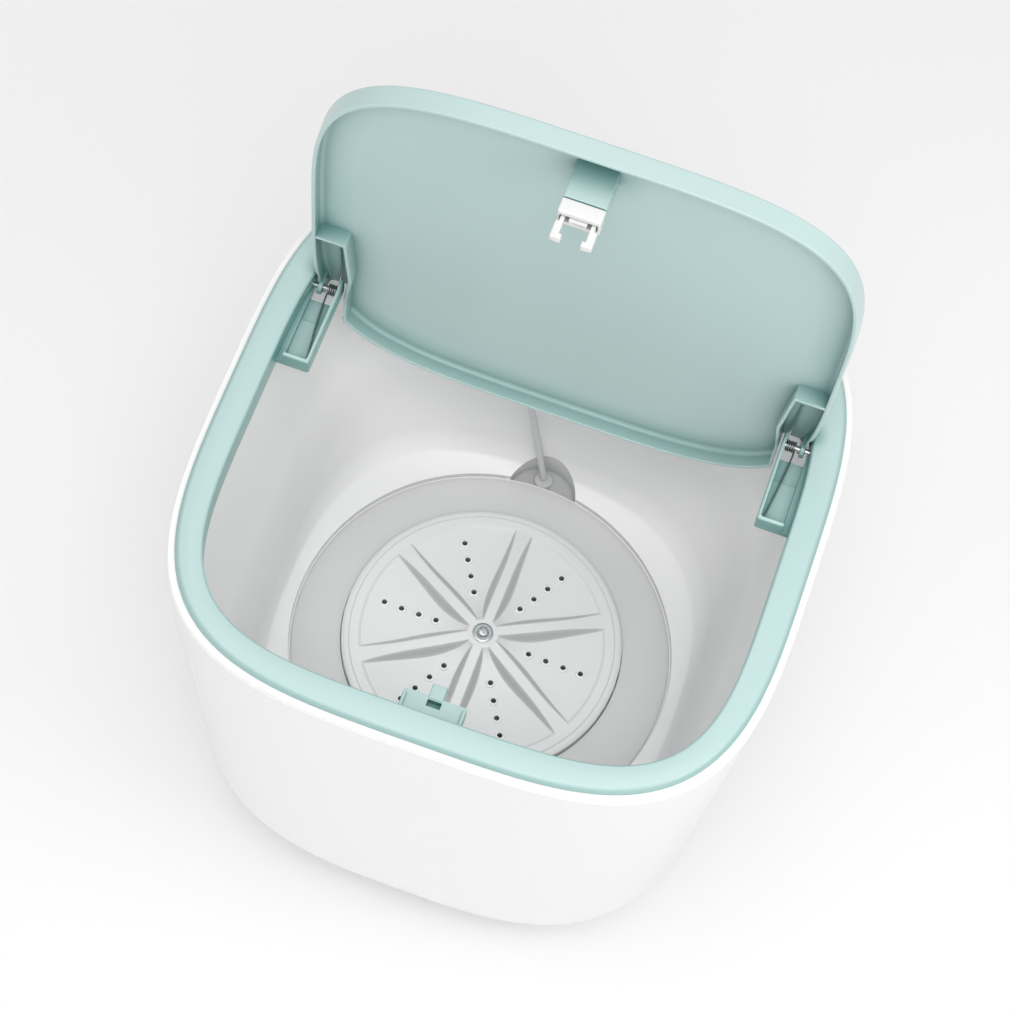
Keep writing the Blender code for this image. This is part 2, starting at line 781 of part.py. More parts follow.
def build_hinges(frame):
    axis = below(HINGE_DROP)
    for side, word in ((-1, "left"), (1, "right")):
        low, high = span(side, PIN_IN, PIN_OUT)
        steel(cylinder("hinge_pin_" + word, (low, HINGE_Y, axis), (high, HINGE_Y, axis), PIN_RADIUS))
        steel(wire("hinge_spring_" + word, coil_with_leg(side), WIRE_RADIUS, resolution=0))
        lid_leg = steel(wire("spring_lid_leg_" + word, lid_leg_path(side), WIRE_RADIUS, resolution=0))
        hang(lid_leg, frame)


# ---- pulsator and its shaft ---------------------------------------------------------------
def pulsator_profile():
    """Dished disc with a raised hub, a rolled rim and a hub boss below, from its axis outwards and back."""
    return [
        (0.0, -PULSATOR_HUB_DROP), (0.0085, -PULSATOR_HUB_DROP), (0.0110, -0.1775),
        (0.0300, -0.1838), (0.0500, -0.1848), (0.0735, -0.1838), (0.0750, -0.1830),
        (0.0825, -PULSATOR_RIM_DROP), (PULSATOR_RADIUS, -0.1850), (PULSATOR_RADIUS, -0.1905),
        (0.0820, -0.1905), (0.0820, -0.1878), (0.0120, -0.1866), (0.0118, -0.1922), (0.0, -0.1922),
    ]


def hole_places():
    places = []
    for row in range(RIB_COUNT):
        angle = RIB_TURN + math.pi / RIB_COUNT + 2 * math.pi * row / RIB_COUNT
        for i in range(HOLES_PER_ROW):
            reach = HOLE_FIRST + HOLE_STEP * i
            places.append((reach * math.cos(angle), AXLE_Y + reach * math.sin(angle)))
    return places


def on_axle(name, top, bottom, radius, group=CUTTERS, sides=16):
    """Round bar on the pulsator's axis between two depths below the rim."""
    return cylinder(name, (0, AXLE_Y, below(bottom)), (0, AXLE_Y, below(top)), radius, group, sides)


def ring(name, inner, outer, top, bottom, centre, steps=16):
    profile = [(inner, -top), (outer, -top), (outer, -bottom), (inner, -bottom)]
    return turned(name, profile, centre, closed=True, steps=steps)


def build_pulsator():
    centre = (0, AXLE_Y, TOP)
    disc = turned("pulsator", pulsator_profile(), centre, steps=40)
    for i in range(RIB_COUNT // 2):
        rib = box("rib_%d" % i, (-RIB_REACH, -RIB_WIDTH / 2, -0.1862),
                  (RIB_REACH, RIB_WIDTH / 2, -0.1778), CUTTERS)
        rib.location = centre
        rib.rotation_euler = (0, 0, RIB_TURN + 2 * math.pi * i / RIB_COUNT)
        join(disc, rib)
    spans = [((x, y, below(0.195)), (x, y, below(0.175))) for x, y in hole_places()]
    holes = cylinders("pulsator_holes", spans, HOLE_RADIUS, sides=6)
    bore = on_axle("pulsator_bore", 0.1810, 0.2000, SHAFT_RADIUS + GAP)
    screw_hole = on_axle("pulsator_screw_hole", 0.1700, 0.1850, 0.0023)
    cut(disc, holes, bore, screw_hole)
    paint(disc, PALE_GREY)
    steel(ring("pulsator_washer", 0.0023, 0.0062, 0.1749, 0.1757, centre))
    steel(pan_screw("pulsator_screw", (0, AXLE_Y, below(0.1746)), 1, 0.0036, 0.0019, 0.016))


def build_shaft():
    centre = (0, AXLE_Y, TOP)
    shaft = on_axle("drive_shaft", 0.1813, 0.2600, SHAFT_RADIUS, PARTS)
    steel(cut(shaft, on_axle("shaft_tapped_hole", 0.1750, 0.1925, 0.0022)))
    bore = SHAFT_RADIUS + 0.0001
    for word, drop in (("upper", 0.2120), ("lower", 0.2270)):
        steel(ring("bearing_" + word, bore, 0.0110, drop, drop + 0.007, centre))
    rubber(ring("shaft_seal", bore, 0.0097, 0.1938, 0.1996, centre))
    profile = [
        (0.0050, -0.2000), (0.0115, -0.2000), (0.0145, -0.2063), (0.0540, -0.2063), (0.0540, -0.2093),
        (0.0145, -0.2093), (0.0145, -0.2360), (0.0112, -0.2360), (0.0112, -0.2116), (0.0050, -0.2116),
    ]
    housing = turned("bearing_housing", profile, centre, closed=True, steps=24)
    spans = [((x, y, below(0.212)), (x, y, below(0.204))) for x, y in housing_screw_places()]
    cut(housing, cylinders("housing_screw_holes", spans, 0.0018))
    paint(housing, PALE_GREY)
    for i, (x, y) in enumerate(housing_screw_places()):
        steel(pan_screw("housing_screw_%d" % (i + 1), (x, y, below(0.2096)), -1, 0.0030, 0.0014, 0.011))


# ---- drive --------------------------------------------------------------------------------
def pulley(name, groove, hub, bore, centre):
    top, bottom = -BELT_DROP + 0.0015, -BELT_DROP - BELT_HEIGHT - 0.0015
    lip = groove + 0.0022
    profile = [
        (bore, top + 0.0015), (hub, top + 0.0015), (hub, top), (lip, top), (lip, top - 0.0010),
        (groove, top - 0.0012), (groove, bottom + 0.0012), (lip, bottom + 0.0010), (lip, bottom),
        (bore, bottom),
    ]
    return turned(name, profile, centre, closed=True, steps=24)


def arc(centre, radius, start, end, count):
    cx, cy = centre
    points = []
    for i in range(count + 1):
        angle = start + (end - start) * i / count
        points.append((cx + radius * math.cos(angle), cy + radius * math.sin(angle)))
    return points


def belt_outline(extra):
    """Loop round both pulleys at a distance outside their grooves."""
    big, small = (0.0, AXLE_Y), (MOTOR_X, MOTOR_Y)
    reach = math.dist(big, small)
    bearing = math.atan2(small[1] - big[1], small[0] - big[0])
    lean = math.acos((BIG_GROOVE - SMALL_GROOVE) / reach)
    around_small = arc(small, SMALL_GROOVE + extra, bearing - lean, bearing + lean, 8)
    around_big = arc(big, BIG_GROOVE + extra, bearing + lean, bearing + 2 * math.pi - lean, 18)
    return around_small + around_big


def build_belt():
    low, high = below(BELT_DROP + BELT_HEIGHT), below(BELT_DROP)
    belt = slab("drive_belt", belt_outline(GAP + BELT_THICKNESS), low, high)
    inside = slab("belt_inside", belt_outline(GAP), low - 0.001, high + 0.001, CUTTERS)
    rubber(cut(belt, inside))


def build_motor():
    centre = (MOTOR_X, MOTOR_Y, TOP)
    shoulder = MOTOR_RADIUS - 0.002
    profile = [
        (0.0, -0.2590), (0.0095, -0.2590), (0.0095, -0.2620), (shoulder, -0.2620), (MOTOR_RADIUS, -0.2640),
        (MOTOR_RADIUS, -0.3160), (shoulder, -0.3180), (0.0, -0.3180),
    ]
    case = turned("motor_case", profile, centre, steps=24)
    bore = cylinder("motor_bore", (MOTOR_X, MOTOR_Y, below(0.300)), (MOTOR_X, MOTOR_Y, below(0.250)),
                    0.0031, CUTTERS)
    steel(cut(case, bore))
    foot = (MOTOR_X, MOTOR_Y, below(0.2997))
    steel(cylinder("motor_shaft", foot, (MOTOR_X, MOTOR_Y, below(0.2390)), 0.0030))
    inner = MOTOR_RADIUS + GAP
    profile = [
        (inner, -0.3000), (0.0340, -0.3000), (0.0340, -0.3289), (0.0420, -0.3289),
        (0.0420, -0.3319), (0.0200, -0.3319), (0.0200, -0.3184), (inner, -0.3184),
    ]
    paint(turned("motor_bracket", profile, centre, closed=True, steps=24), PALE_GREY)


def build_drive():
    centre = (0, AXLE_Y, TOP)
    steel(pulley("driven_pulley", BIG_GROOVE, 0.012, SHAFT_RADIUS + GAP, centre))
    nut = on_axle("pulley_nut", 0.2510, 0.2550, 0.0072, PARTS, 6)
    steel(cut(nut, on_axle("nut_bore", 0.2500, 0.2560, SHAFT_RADIUS + 0.0002)))
    steel(pulley("motor_pulley", SMALL_GROOVE, 0.0075, 0.0033, (MOTOR_X, MOTOR_Y, TOP)))
    build_belt()
    build_motor()


# ---- drain --------------------------------------------------------------------------------
def rod_ends():
    """Foot of the drain rod on its plug, and its upper end under the knob."""
    low = Vector((DRAIN_X, DRAIN_Y, below(PLUG_TOP) + 0.0012))
    high = Vector((KNOB_X, KNOB_Y, TOP + 0.005))
    return low, high


def tube(name, path, outer, inner):
    body = wire(name, path, outer, resolution=4)
    start, end = Vector(path[0]), Vector(path[-1])
    longer = [start + (start - Vector(path[1])).normalized() * 0.002] + list(path[1:-1])
    longer.append(end + (end - Vector(path[-2])).normalized() * 0.002)
    bore = wire(name + "_bore", longer, inner, CUTTERS, 4)
    return cut(body, bore)


def hose_path():
    turn = 0.030
    corner = below(OUTLET_DROP) + turn
    points = [(DRAIN_X, DRAIN_Y, below(0.2165)), (DRAIN_X, DRAIN_Y, corner)]
    steps = 5
    for i in range(1, steps + 1):
        angle = math.pi / 2 * i / steps
        points.append((DRAIN_X, DRAIN_Y + turn * (1 - math.cos(angle)), corner - turn * math.sin(angle)))
    points.append((DRAIN_X, 0.142, below(OUTLET_DROP)))
    return points


def build_drain():
    low, high = rod_ends()
    rod = cylinder("drain_rod", low, high, ROD_RADIUS, sides=16)
    profile = [
        (0.0, 0.0105), (0.0065, 0.0105), (0.0085, 0.0088),
        (0.0080, 0.0045), (0.0090, 0.0008), (0.0, 0.0008),
    ]
    knob = turned("knob", profile, (KNOB_X, KNOB_Y, TOP), CUTTERS, steps=24)
    paint(join(rod, knob), WHITE)
    foot = (DRAIN_X, DRAIN_Y, below(NICHE_DROP) + GAP)
    rubber(cylinder("drain_plug", foot, (DRAIN_X, DRAIN_Y, below(PLUG_TOP)), PLUG_RADIUS))
    profile = [
        (0.0045, -0.2088), (0.0110, -0.2088), (0.0110, -0.2108), (0.0060, -0.2108),
        (0.0060, -0.2300), (0.0045, -0.2300),
    ]
    paint(turned("drain_spigot", profile, (DRAIN_X, DRAIN_Y, TOP), closed=True, steps=24), WHITE)
    paint(tube("drain_hose", hose_path(), HOSE_OUTER, HOSE_INNER), PALE_GREY)
    level = below(OUTLET_DROP)
    outlet = cylinder("drain_outlet", (DRAIN_X, 0.130, level), (DRAIN_X, 0.170, level), OUTLET_RADIUS)
    bore = cylinder("outlet_bore", (DRAIN_X, 0.120, level), (DRAIN_X, 0.180, level), 0.0044, CUTTERS)
    paint(cut(outlet, bore), WHITE)


# ---- electrics ----------------------------------------------------------------------------
def board_corners():
    return [(-0.080, 0.001), (-0.028, 0.001), (-0.080, 0.059), (-0.028, 0.059)]


def level_bar(name, x, near, far, radius, group=CUTTERS, sides=16):
    """Round bar pointing to the rear at the height of the rear panel's middle."""
    middle = below((PANEL_TOP + PANEL_BOTTOM) / 2)
    return cylinder(name, (x, near, middle), (x, far, middle), radius, group, sides)


def build_panel():
    panel = box("rear_panel", (-PANEL_HALF, PANEL_BACK, below(PANEL_BOTTOM)),
                (PANEL_HALF, PANEL_FACE, below(PANEL_TOP)))
    well = level_bar("button_well", BUTTON_X, 0.150, 0.170, 0.0080)
    inlet_hole = level_bar("inlet_hole", INLET_X, 0.150, 0.170, INLET_RADIUS + GAP)
    paint(cut(panel, well, inlet_hole), PALE_GREY)
    paint(level_bar("power_button", BUTTON_X, 0.1595, 0.1672, 0.0076, PARTS), MINT)
    middle = below((PANEL_TOP + PANEL_BOTTOM) / 2)
    switch = box("power_switch", (BUTTON_X - 0.008, 0.1430, middle - 0.008),
                 (BUTTON_X + 0.008, 0.1565, middle + 0.008))
    rubber(switch)
    inlet = level_bar("power_inlet", INLET_X, 0.1480, 0.1646, INLET_RADIUS, PARTS)
    rubber(cut(inlet, level_bar("inlet_socket", INLET_X, 0.1540, 0.1700, 0.0034)))


def build_board():
    board = box("control_board", (-0.086, -0.005, below(BOARD_BOTTOM)), (-0.022, 0.065, below(0.3204)))
    bodies = (
        ("capacitor", (-0.072, 0.012), (-0.057, 0.027), 0.3020),
        ("relay", (-0.048, 0.012), (-0.032, 0.027), 0.3060),
        ("driver_chip", (-0.068, 0.042), (-0.044, 0.052), 0.3180),
    )
    for name, (x0, y0), (x1, y1), top in bodies:
        join(board, box(name, (x0, y0, below(0.3212)), (x1, y1, below(top)), CUTTERS))
    paint(board, BOARD_GREEN)


def main():
    build_housing()
    build_base()
    build_tub()
    build_rim()
    frame = hinge_frame()
    build_lid(frame)
    build_latch(frame)
    build_hinges(frame)
    build_pulsator()
    build_shaft()
    build_drive()
    build_drain()
    build_panel()
    build_board()


main()
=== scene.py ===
"""Looks of the portable mini washer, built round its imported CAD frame.

Metres, +Z up, as in the frame.  The lid's pieces are drawn shut and then turned open about the hinge.
"""
import json
from math import asin, cos, pi, radians, sin

import bmesh
import bpy
from mathutils import Matrix, Vector

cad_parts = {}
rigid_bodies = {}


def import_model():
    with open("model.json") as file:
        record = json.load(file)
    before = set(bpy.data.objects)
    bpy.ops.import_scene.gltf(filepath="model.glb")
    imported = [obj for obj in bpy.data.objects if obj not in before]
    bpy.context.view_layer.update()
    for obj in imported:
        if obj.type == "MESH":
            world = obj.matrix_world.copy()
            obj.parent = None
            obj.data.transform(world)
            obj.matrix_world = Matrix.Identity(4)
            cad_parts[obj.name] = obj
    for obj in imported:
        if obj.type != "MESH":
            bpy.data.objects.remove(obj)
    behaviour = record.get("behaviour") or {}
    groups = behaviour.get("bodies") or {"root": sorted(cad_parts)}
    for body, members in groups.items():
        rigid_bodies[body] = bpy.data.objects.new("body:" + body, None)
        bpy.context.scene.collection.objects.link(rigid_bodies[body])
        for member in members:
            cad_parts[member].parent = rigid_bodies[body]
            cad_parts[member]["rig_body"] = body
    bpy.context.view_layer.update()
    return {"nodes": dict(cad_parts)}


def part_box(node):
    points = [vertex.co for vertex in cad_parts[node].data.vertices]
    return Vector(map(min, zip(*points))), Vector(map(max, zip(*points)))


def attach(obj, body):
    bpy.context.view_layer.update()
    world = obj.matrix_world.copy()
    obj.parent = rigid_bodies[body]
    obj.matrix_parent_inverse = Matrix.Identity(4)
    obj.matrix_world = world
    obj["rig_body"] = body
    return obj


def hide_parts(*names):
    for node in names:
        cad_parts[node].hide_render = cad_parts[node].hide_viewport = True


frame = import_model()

NODES = frame["nodes"]

# ---- driving dimensions ----
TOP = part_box("top_ring")[1].z  # top face of the rim; depths below are measured down from it
OUTLINE = 208  # corners round every moulded outline
WALL = 0.0025
SIDES = ((-1, "left"), (1, "right"))

# rim and its opening
RIM_HALF = 0.165
RIM_POWER = 3.63
OPENING_HALF_X = 0.1499
OPENING_HALF_Y = 0.1438
OPENING_Y = -0.0061
OPENING_POWER = 4.2
RIM_SKIRT = 0.018
RIM_LIP = 0.0037
RIM_CROWN = 0.0005  # how far the rim's top face rises between its edges
EMBED = 0.156  # what is added to the rim starts here and is trimmed to its wall
OUTSIDE = 0.16  # cutters run out to here

# casing
CASING_HALF = 0.171
CASING_DROP = 0.0073
CASING_WAIST = 0.1615
ROUNDING_TOP = 0.2615
ROUNDING_RISE = 0.0765
ROUNDING_INSET = 0.05
BASE_OPENING = 0.095
BASE_POWER = 2.6
WAIST_POWER = 3.18
PLATE_HALF = 0.105
PLATE_DROP = 0.3322
PLATE_THICK = 0.003
RIB_REACH = 0.056
RIB_PITCH = 0.022
SCREW_WAY_TOP = 0.33
SCREW_WAY = 0.0019

# tub
AXLE_Y = -0.025
FLANGE_HALF = 0.1705
FLANGE_DROP = 0.004
MOUTH = 0.0029
FLOOR_RADIUS = 0.1155
FLOOR_DROP = 0.2005
RECESS_RADIUS = 0.0856
RECESS_TOP = 0.1885
RECESS_DROP = 0.1935
HUB_HOLE = 0.01
NICHE_X = 0.001
NICHE_Y = 0.0845
NICHE_RADIUS = 0.022
NICHE_DROP = 0.206

# pulsator
RIB_COUNT = 6
RIB_TURN = radians(29)
RIB_HALF = 0.0027
RIB_FLARE = 0.0022  # how much wider a rib's half gets at its outer end
HUB_RADIUS = 0.009
HUB_DROP = 0.176
BAND_INNER = 0.075
BAND_DROP = 0.1831
DISH_END = 0.0728
DISH_DROP = 0.184
CENTRE_HOLE = 0.0023
HOLE_RADIUS = 0.0017
HOLE_FIRST = 0.0298
HOLE_STEP = 0.0111
HOLES_PER_ROW = 4

# lid
LID_HALF_X = 0.1492
LID_HALF_Y = 0.1426
LID_Y = -0.0066
LID_POWER = 3.92
LID_DEPTH = 0.012
LID_WALL = 0.0023
HINGE_Y = 0.074
HINGE_Z = TOP - 0.0115
LID_OPEN = radians(88.5)
TONGUE_HALF = 0.1296
POCKET_FRONT = 0.0531

# hinge hardware
PIN_RADIUS = 0.0015
PIN_HOLE = 0.0016
COIL_RADIUS = 0.0029
COIL_IN = 0.1332
COIL_OUT = 0.1385
COIL_TURNS = 4.25
EAR_OUT = 0.1443
EAR_RADIUS = 0.0045
WIRE_RADIUS = 0.0005
TRAY_IN = 0.1304
TRAY_FRONT = 0.0218
TRAY_BACK = 0.0796
TRAY_DROP = 0.0045
TRAY_DEEP = 0.017
SLOT_OUT = 0.1462

# latch and keeper
LATCH_Y = -0.124
KEEPER_DROP = 0.036
LATCH_BODY_DROP = 0.0252
JAW_X = 0.008
JAW_TIP_DROP = 0.0463
JAW_PIN_DROP = 0.0285
JAW_PIN_WAY = 0.0007
CATCH_COIL_RADIUS = 0.0014
CATCH_COIL_TURNS = 7

# drain
DRAIN_X = -0.001
DRAIN_Y = 0.0984
PLUG_TOP = 0.2036
ROD_RADIUS = 0.0022
KNOB = (-0.066, 0.151)
OUTLET_DROP = 0.3

# camera, solved for the whole object
CAMERA_AZIMUTH = radians(10.672)
CAMERA_ELEVATION = radians(64.509)
CAMERA_ROLL = radians(9.419)
CAMERA_DISTANCE = 1.43163
CAMERA_TARGET = (0.000091, -0.022601)
CAMERA_LENS = 94.43


# ---- mesh helpers ----
def below(drop):
    """Height of a point that lies this far under the rim's top face."""
    return TOP - drop


def new_object(name, data):
    thing = bpy.data.objects.new(name, data)
    bpy.context.scene.collection.objects.link(thing)
    return thing


def discard(thing):
    bpy.data.objects.remove(thing, do_unlink=True)


def from_bmesh(name, bm):
    mesh = bpy.data.meshes.new(name)
    bm.to_mesh(mesh)
    bm.free()
    return new_object(name, mesh)


def skin(name, rows, loop=False):
    """Skin over closed rows of points. Outer sides run down the list, inner sides run up it."""
    bm = bmesh.new()
    rows = [[bm.verts.new(point) for point in row] for row in rows]
    pairs = list(zip(rows, rows[1:]))
    if loop:
        pairs.append((rows[-1], rows[0]))
    for upper, lower in pairs:
        for i in range(len(upper)):
            j = (i + 1) % len(upper)
            bm.faces.new((upper[i], lower[i], lower[j], upper[j]))
    if not loop:
        bm.faces.new(rows[0])
        bm.faces.new(rows[-1][::-1])
    return from_bmesh(name, bm)


def loft(name, rings, loop=False):
    """Skin between (outline, depth under the rim) rings."""
    rows = [[(x, y, below(drop)) for x, y in outline] for outline, drop in rings]
    return skin(name, rows, loop)


def turned(name, profile, base, axis=(0, 0, 1), steps=48, loop=False, lobes=0, depth=0.0):
    """Body turned about an axis through base, from (radius, height) points; lobes scallop its side."""
    place = Matrix.Translation(base) @ Vector(axis).to_track_quat("Z", "Y").to_matrix().to_4x4()
    rows = []
    for radius, height in profile:
        row = []
        for i in range(steps):
            angle = 2 * pi * i / steps
            reach = radius * (1 + depth * cos(lobes * angle))
            row.append(place @ Vector((reach * cos(angle), reach * sin(angle), height)))
        rows.append(row)
    return skin(name, rows, loop)


def rounded(points, reach, closed=False, steps=4):
    """The same line with every real corner turned into a small arc. reach is one size or one a corner."""
    points = [Vector(point) for point in points]
    count = len(points)
    reaches = reach if isinstance(reach, list) else [reach] * count
    result = []
    for i, corner in enumerate(points):
        before = points[i - 1] - corner
        after = points[(i + 1) % count] - corner
        at_end = not closed and i in (0, count - 1)
        if at_end or before.angle(after) > radians(168):
            result.append(corner)
            continue
        size = min(reaches[i], 0.45 * before.length, 0.45 * after.length)
        start = corner + before.normalized() * size
        end = corner + after.normalized() * size
        for k in range(steps + 1):
            t = k / steps
            result.append(start * (1 - t) ** 2 + corner * (2 * t * (1 - t)) + end * t ** 2)
    return result


def block(name, low, high, radius=0.0, steps=3):
    """Box with rounded edges."""
    low, high = Vector(low), Vector(high)
    bm = bmesh.new()
    place = Matrix.Translation((low + high) / 2) @ Matrix.Diagonal((*(high - low), 1.0))
    bmesh.ops.create_cube(bm, size=1.0, matrix=place)
    if radius:
        bmesh.ops.bevel(bm, geom=bm.edges[:], offset=radius, segments=steps, profile=0.5,
                        affect="EDGES", clamp_overlap=True)
    return from_bmesh(name, bm)


def slab(name, outline, low, high, radius=0.0):
    """Flat outline in plan, raised between two heights, with its upper and lower edges rounded."""
    bm = bmesh.new()
    floor = [bm.verts.new((x, y, low)) for x, y in outline]
    roof = [bm.verts.new((x, y, high)) for x, y in outline]
    bm.faces.new(floor[::-1])
    bm.faces.new(roof)
    for i in range(len(outline)):
        j = (i + 1) % len(outline)
        bm.faces.new((floor[i], floor[j], roof[j], roof[i]))
    bmesh.ops.recalc_face_normals(bm, faces=bm.faces[:])
    if radius:
        level = [edge for edge in bm.edges if abs(edge.verts[0].co.z - edge.verts[1].co.z) < 1e-7]
        bmesh.ops.bevel(bm, geom=level, offset=radius, segments=2, profile=0.5, affect="EDGES")
    return from_bmesh(name, bm)


def rod(name, start, end, radius, steps=32):
    """Plain round bar between two points."""
    start, end = Vector(start), Vector(end)
    along = end - start
    return turned(name, [(radius, along.length), (radius, 0.0)], start, along, steps)


def gather(name, things):
    """Several separate bodies as one piece."""
    bm = bmesh.new()
    for thing in things:
        bm.from_mesh(thing.data)
        discard(thing)
    return from_bmesh(name, bm)


def drill(name, x, y, bottom, top, radius):
    """Upright bar between two depths under the rim."""
    return rod(name, (x, y, below(bottom)), (x, y, below(top)), radius)


def rods(name, spans, radius, steps=24):
    """Several separate round bars in one piece."""
    return gather(name, [rod("bar", start, end, radius, steps) for start, end in spans])


def smooth_path(points, steps=8):
    """Points along a smooth curve through the given ones."""
    points = [Vector(point) for point in points]
    ends = [2 * points[0] - points[1]] + points + [2 * points[-1] - points[-2]]
    result = []
    for i in range(1, len(ends) - 2):
        a, b, c, d = ends[i - 1:i + 3]
        for k in range(steps):
            t = k / steps
            result.append(0.5 * (2 * b + (c - a) * t + (2 * a - 5 * b + 4 * c - d) * t ** 2
                                 + (3 * b - a - 3 * c + d) * t ** 3))
    result.append(points[-1])
    return result


def wire(name, path, radius):
    """Round wire along a path, with flat ends."""
    curve = bpy.data.curves.new(name, "CURVE")
    curve.dimensions = "3D"
    curve.bevel_depth = radius
    curve.bevel_resolution = 3
    curve.use_fill_caps = True
    line = curve.splines.new("POLY")
    line.points.add(len(path) - 1)
    for point, place in zip(line.points, path):
        point.co = (*place, 1.0)
    draft = new_object(name + "_path", curve)
    bpy.context.view_layer.update()
    bm = bmesh.new()
    bm.from_mesh(bpy.data.meshes.new_from_object(draft))
    discard(draft)
    bmesh.ops.remove_doubles(bm, verts=bm.verts, dist=0.000001)
    bmesh.ops.recalc_face_normals(bm, faces=bm.faces)
    return from_bmesh(name, bm)


def combine(thing, operation, others, keep=False):
    """Boolean of a piece with others, which go afterwards unless they are kept."""
    for other in others:
        tool = thing.modifiers.new(other.name, "BOOLEAN")
        tool.solver = "EXACT"
        tool.operation = operation
        tool.object = other
    thing.data = bpy.data.meshes.new_from_object(thing.evaluated_get(bpy.context.evaluated_depsgraph_get()))
    thing.modifiers.clear()
    for other in () if keep else others:
        discard(other)
    return thing


def join(thing, *others):
    return combine(thing, "UNION", others)


def cut(thing, *others):
    return combine(thing, "DIFFERENCE", others)


def trim(thing, other):
    """The part of a piece that lies inside another, which is kept."""
    return combine(thing, "INTERSECT", [other], keep=True)


def toward(start, end, t):
    """Value a share t of the way from start to end."""
    return start + (end - start) * t


def span(side, near, far):
    """Low and high x for a piece between two distances from the middle, on one side."""
    return (near, far) if side > 0 else (-far, -near)


def brick(name, across, along, drops, radius=0.0, steps=3):
    """Box with rounded edges from its ranges in x, in y and in depth under the rim, the deep end first."""
    low, high = zip(across, along, (below(drops[0]), below(drops[1])))
    return block(name, low, high, radius, steps)


def stand(box):
    """Middle of the underside of a CAD box, and the box's height."""
    low, high = box
    middle = (low + high) / 2
    return Vector((middle.x, middle.y, low.z)), high.z - low.z


def upright(box, low, high):
    """Ends of a vertical line through the middle of a CAD box."""
    x, y, _ = stand(box)[0]
    return (x, y, low), (x, y, high)


def interpolate(table, at):
    """Smooth values between rows of (position, values...), as a list."""
    last = len(table) - 1
    k = 0
    while k < last - 1 and at > table[k + 1][0]:
        k += 1
    low, high = table[k], table[k + 1]
    width = high[0] - low[0]
    t = min(max((at - low[0]) / width, 0.0), 1.0)
    before, after = table[max(k - 1, 0)], table[min(k + 2, last)]
    values = []
    for i in range(1, len(low)):
        lean_low = (high[i] - before[i]) / (high[0] - before[0]) * width
        lean_high = (after[i] - low[i]) / (after[0] - low[0]) * width
        values.append((2 * t ** 3 - 3 * t ** 2 + 1) * low[i] + (t ** 3 - 2 * t ** 2 + t) * lean_low
                      + (3 * t ** 2 - 2 * t ** 3) * high[i] + (t ** 3 - t ** 2) * lean_high)
    return values


# ---- outlines ----
def superellipse(half_x, half_y, power, centre_y=0.0):
    points = []
    for i in range(OUTLINE):
        angle = 2 * pi * i / OUTLINE
        c, s = cos(angle), sin(angle)
        reach = (abs(c / half_x) ** power + abs(s / half_y) ** power) ** (-1 / power)
        points.append((reach * c, centre_y + reach * s))
    return points


def square(half, power):
    """Outline as wide as it is deep, squarer the higher its power."""
    return superellipse(half, half, power)


def rim_outline(grow):
    return square(RIM_HALF + grow, RIM_POWER)


def opening_outline(grow):
    return superellipse(OPENING_HALF_X + grow, OPENING_HALF_Y + grow, OPENING_POWER, OPENING_Y)


def lid_outline(grow):
    return superellipse(LID_HALF_X + grow, LID_HALF_Y + grow, LID_POWER, LID_Y)


def circle(radius):
    return superellipse(radius, radius, 2.0, AXLE_Y)


def between(first, second, t):
    return [(toward(a, c, t), toward(b, d, t)) for (a, b), (c, d) in zip(first, second)]


# ---- materials ----
class Nodes:
    """Small wrapper that adds a material's shader nodes and fills their sockets."""

    def __init__(self, name):
        self.material = bpy.data.materials.new(name)
        self.material.use_nodes = True
        self.tree = self.material.node_tree
        self.shader = self.tree.nodes["Principled BSDF"]
        self.spots = self.add("TexCoord").outputs
        self.place = self.spots["Object"]

    def fill(self, node, sockets):
        """Link an output to each socket, or give it a plain value."""
        for key, value in sockets.items():
            socket = node.inputs[key]
            if isinstance(value, bpy.types.NodeSocket):
                self.tree.links.new(value, socket)
            else:
                socket.default_value = (*value, 1.0) if socket.type == "RGBA" else value

    def add(self, kind, sockets=None, **settings):
        node = self.tree.nodes.new("ShaderNode" + kind)
        for key, value in settings.items():
            setattr(node, key, value)
        self.fill(node, sockets or {})
        return node

    def noise(self, scale, detail=3.0, stretch=None):
        source = self.place
        if stretch:
            source = self.add("Mapping", {"Vector": source, "Scale": stretch}).outputs["Vector"]
        return self.add("TexNoise", {"Vector": source, "Scale": scale, "Detail": detail}).outputs["Fac"]

    def spread(self, value, low, high, at_low=0.3, at_high=0.7):
        ends = {"Value": value, "From Min": at_low, "From Max": at_high, "To Min": low, "To Max": high}
        return self.add("MapRange", ends).outputs["Result"]

    def mix(self, factor, first, second):
        return self.add("Mix", {"Factor": factor, 6: first, 7: second}, data_type="RGBA").outputs[2]

    def slope(self):
        """How far a face leans: 1 where it looks straight up, 0 where it stands upright."""
        return self.add("SeparateXYZ", {"Vector": self.spots["Normal"]}).outputs["Z"]

    def wear_and_highlight_edges(self, body, colour, share, start):
        """The body with its sharp outer edges lightened to another colour: rubbed wear on metal, and on
        plastic partly wear and partly a painted highlight.
        """
        pointed = self.add("NewGeometry").outputs["Pointiness"]
        return self.mix(self.spread(pointed, 0.0, share, start, start + 0.1), body, colour)

    def bump(self, height, strength, distance=0.0002):
        node = self.add("Bump", {"Height": height, "Strength": strength, "Distance": distance})
        self.fill(self.shader, {"Normal": node.outputs["Normal"]})

    def finish(self, body, roughness, grain, gloss):
        """Colour, uneven gloss, fine grain and clear coat."""
        uneven = self.spread(self.noise(9.0, 1.0), roughness - 0.02, roughness + 0.02, 0.0, 1.0)
        self.fill(self.shader, {"Base Color": body, "Roughness": uneven})
        self.fill(self.shader, {"Coat Weight": gloss, "Coat Roughness": 0.12})
        self.bump(self.noise(900.0, 2.0), grain, 0.0001)
        return self.material


def shade_of(colour, factor):
    return tuple(min(1.0, part * factor) for part in colour)


